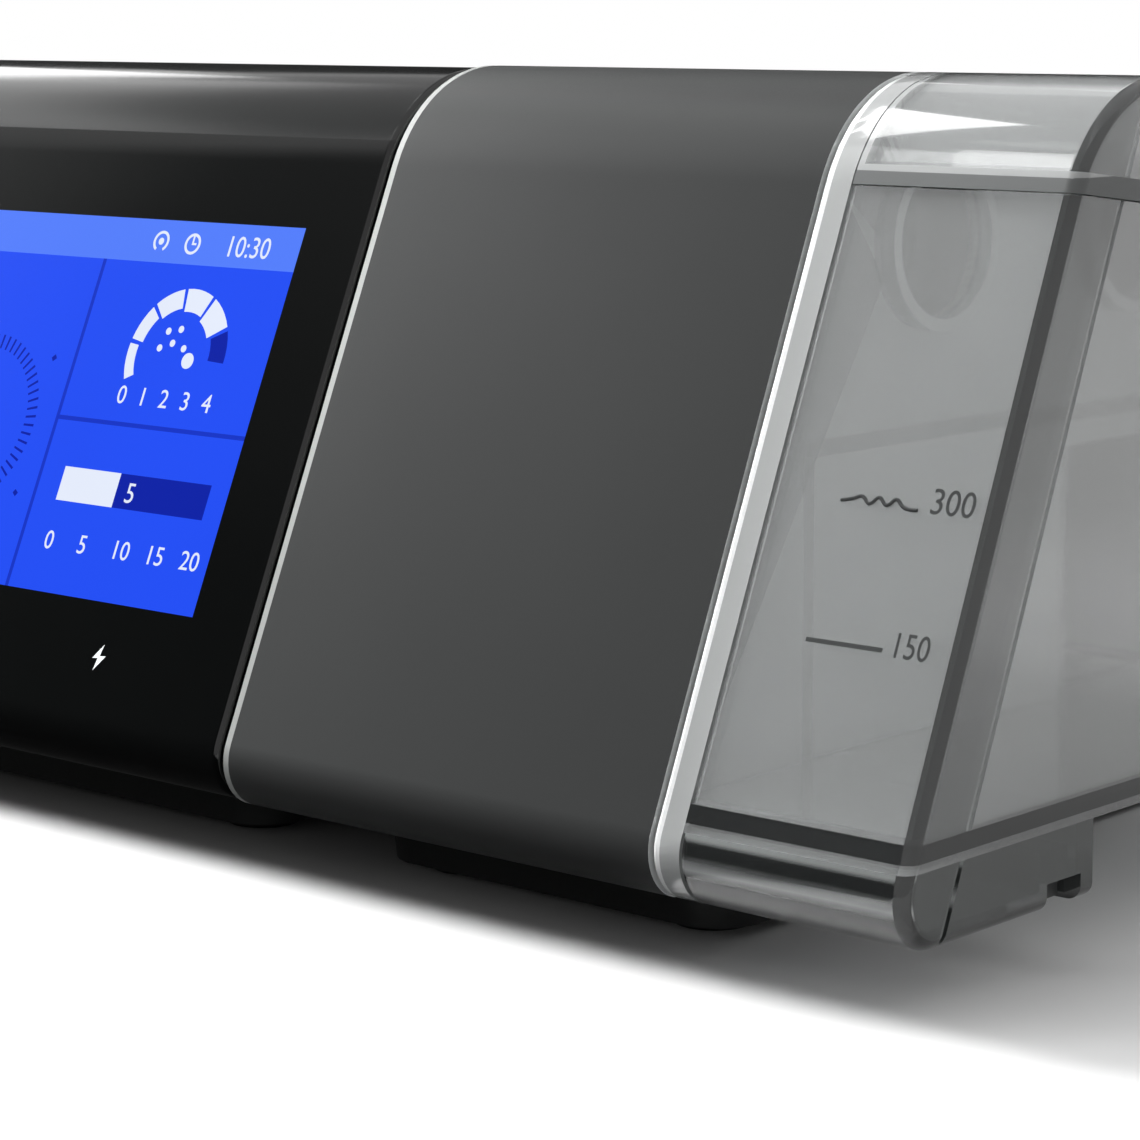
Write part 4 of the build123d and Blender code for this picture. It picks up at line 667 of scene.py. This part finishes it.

# In the chamber's foot, where the skirt curves under and meets the floor, light and dark bands are painted
# one
# over the other by height: painted reflections and highlights.
BANDS_LOW, BANDS_HIGH = 0.011, 0.018         # their heights over the table
painted_bands = see_through("clear_polycarbonate_painted_bands", "#d4d6d6", "#cccece", 0.5, 0.1, 1.0, 0.6)
tree = painted_bands.node_tree
place = add(tree, "ShaderNodeTexCoord")
split = add(tree, "ShaderNodeSeparateXYZ", {0: place.outputs["Object"]})
height = add(tree, "ShaderNodeMapRange", {"Value": split.outputs["Z"]},
             {"From Min": BANDS_LOW, "From Max": BANDS_HIGH})
painted_bands_ramp = add(tree, "ShaderNodeValToRGB", {0: height.outputs[0]})
painted_band_tones = ((0.0, "#303232"), (0.14, "#3c3e3e"), (0.3, "#f4f6f6"), (0.45, "#808282"), (0.54, "#303232"),
         (0.72, "#303232"), (0.8, "#b4b8b7"), (1.0, "#b4b8b7"))
for at, tone in painted_band_tones[1:-1]:
    painted_bands_ramp.color_ramp.elements.new(at)
for element, (at, tone) in zip(painted_bands_ramp.color_ramp.elements, painted_band_tones):
    element.position = at
    element.color = linear(tone)
tree.links.new(painted_bands_ramp.outputs[0], tree.nodes["Principled BSDF"].inputs["Base Color"])


def cut(piece, normal, value):
    """Cuts a piece's faces along the plane with this normal, at value along it."""
    select_only(piece)
    bpy.ops.object.mode_set(mode="EDIT")
    bpy.ops.mesh.select_all(action="SELECT")
    bpy.ops.mesh.bisect(plane_co=[value * part for part in normal], plane_no=normal)
    bpy.ops.object.mode_set(mode="OBJECT")
    return piece


def parted(piece, *tests):
    """Gives the faces that pass a test, by middle and normal, that test's material.  The last one holds."""
    for number, (material, test) in enumerate(tests):
        piece.data.materials.append(material)
        for face in piece.data.polygons:
            if test(face.center, face.normal):
                face.material_index = number + 1


RIGHT, UP = (1, 0, 0), (0, 0, 1)
LIP_END, RIM_END, CORNER_START = 0.0821, 0.0849, 0.108       # from left to right
RIGHT_WALL = 0.94                            # a normal's share to the right, on the right wall
STRIP_EDGE = -0.0704                         # back edge of the front strip, followed down to the table
FLOOR_LOW, FLOOR_HIGH = 0.018, 0.0205        # the floor's dark edge
ARCH_FOOT = 0.0884                           # over this, the lid seal is pale


def at_corner(middle, normal):
    return 0.12 < normal.x < RIGHT_WALL and normal.y < 0.1 and middle.x > CORNER_START


def at_rim(middle, normal):
    return middle.x < RIM_END and normal.x < 0.3 and normal.y < 0.1


def at_lip(middle, normal):
    return middle.x < LIP_END and normal.x < 0.3 and normal.y < 0.1


def at_front_strip(middle, normal):
    return normal.x > RIGHT_WALL and middle.y - middle.z * tan(LEAN) < STRIP_EDGE


for name in ("chamber_tub", "chamber_lid"):
    parted(cut(skin(name, clear), RIGHT, LIP_END),
           (painted_shade_strip, at_front_strip), (painted_dark_edge, at_corner), (painted_highlight, at_rim), (painted_highlight_lip, at_lip))
parted(cut(skin("chamber_skirt", clear), RIGHT, LIP_END),
       (painted_shade_skirt_side, lambda middle, normal: normal.x > RIGHT_WALL),
       (painted_bands, lambda middle, normal: normal.y < -0.15), (painted_dark_edge, at_corner), (painted_highlight, at_rim), (painted_highlight_lip, at_lip))
parted(cut(skin("chamber_floor", clear), UP, FLOOR_LOW),
       (painted_dark_edge, lambda middle, normal: abs(normal.z) < 0.6 and FLOOR_LOW < middle.z < FLOOR_HIGH))
# The port tubes' end faces are painted pale: a painted highlight.
for name in ("inlet_tube", "outlet_tube"):
    parted(skin(name, clear), (painted_highlight, lambda middle, normal: abs(normal.x) > 0.9))

# Lid seal between tub and lid: moulded grey silicone, a little see-through.  It is painted pale at its top
# and
# where it arches over beside the rim: a painted highlight.
seal_rubber = moulded("grey_translucent_silicone", "#6c6e6e", "#727474", 0.5, 0.004, 0.5)
parted(cut(skin("lid_seal", seal_rubber), UP, ARCH_FOOT),
       (painted_highlight, lambda middle, normal: middle.z > ARCH_FOOT))

# Release lever on its pin between two lugs under the floor, of the same satin grey ABS as the keys.
skin("release_lever", key_grey)

# Level marks, printed in dark grey on the chamber's front: a wave at the full line and a bar at half.
ink = moulded("dark_grey_print", "#3c3e3e", "#444646", 0.3, 0.001, 0.5)
FULL_HEIGHT, HALF_HEIGHT = 0.0532, 0.0384
TOE_Y, TOE_Z = -0.07355, 0.0142              # a point in the plane of the chamber's front, level with its toe
front_foot = TOE_Y - TOE_Z * tan(LEAN)       # where that plane meets the table


def on_chamber(name, patches, height):
    """Lays patches on the chamber's front, in millimetres from the machine's middle and up from height."""
    corner = Vector((0, front_foot + height * tan(LEAN), height))
    laid(name, patches, corner, picture_up, picture_out, ink, "chamber")


select_only()
bpy.ops.curve.primitive_nurbs_path_add(location=(0, 0, 0))
wave = bpy.context.object
line = wave.data.splines[0]
crests = [(94.6, -0.2), (96.0, 0.0), (97.3, 0.7), (98.4, -0.6), (99.5, 0.9), (100.7, -0.6), (101.8, 0.9),
          (103.0, -0.6), (104.8, -0.4)]
line.points.add(len(crests) - len(line.points))
for point, (x, y) in zip(line.points, crests):
    point.co = (x, y, 0, 1)
line.use_endpoint_u = True
line.order_u = 3
wave.data.dimensions = "3D"
wave.data.bevel_depth = 0.22
bpy.ops.object.convert(target="MESH")
wave = bpy.context.object
on_chamber("full_mark", [wave, digits("300", 106.2, -0.6, 3.0, width=0.95)], FULL_HEIGHT)
on_chamber("half_mark", [tile(94.6, 104.8, -0.25, 0.25), digits("150", 105.7, -0.6, 2.9, width=0.85)],
           HALF_HEIGHT)

# ---------------------------------------------------------------- last update
bpy.context.view_layer.update()
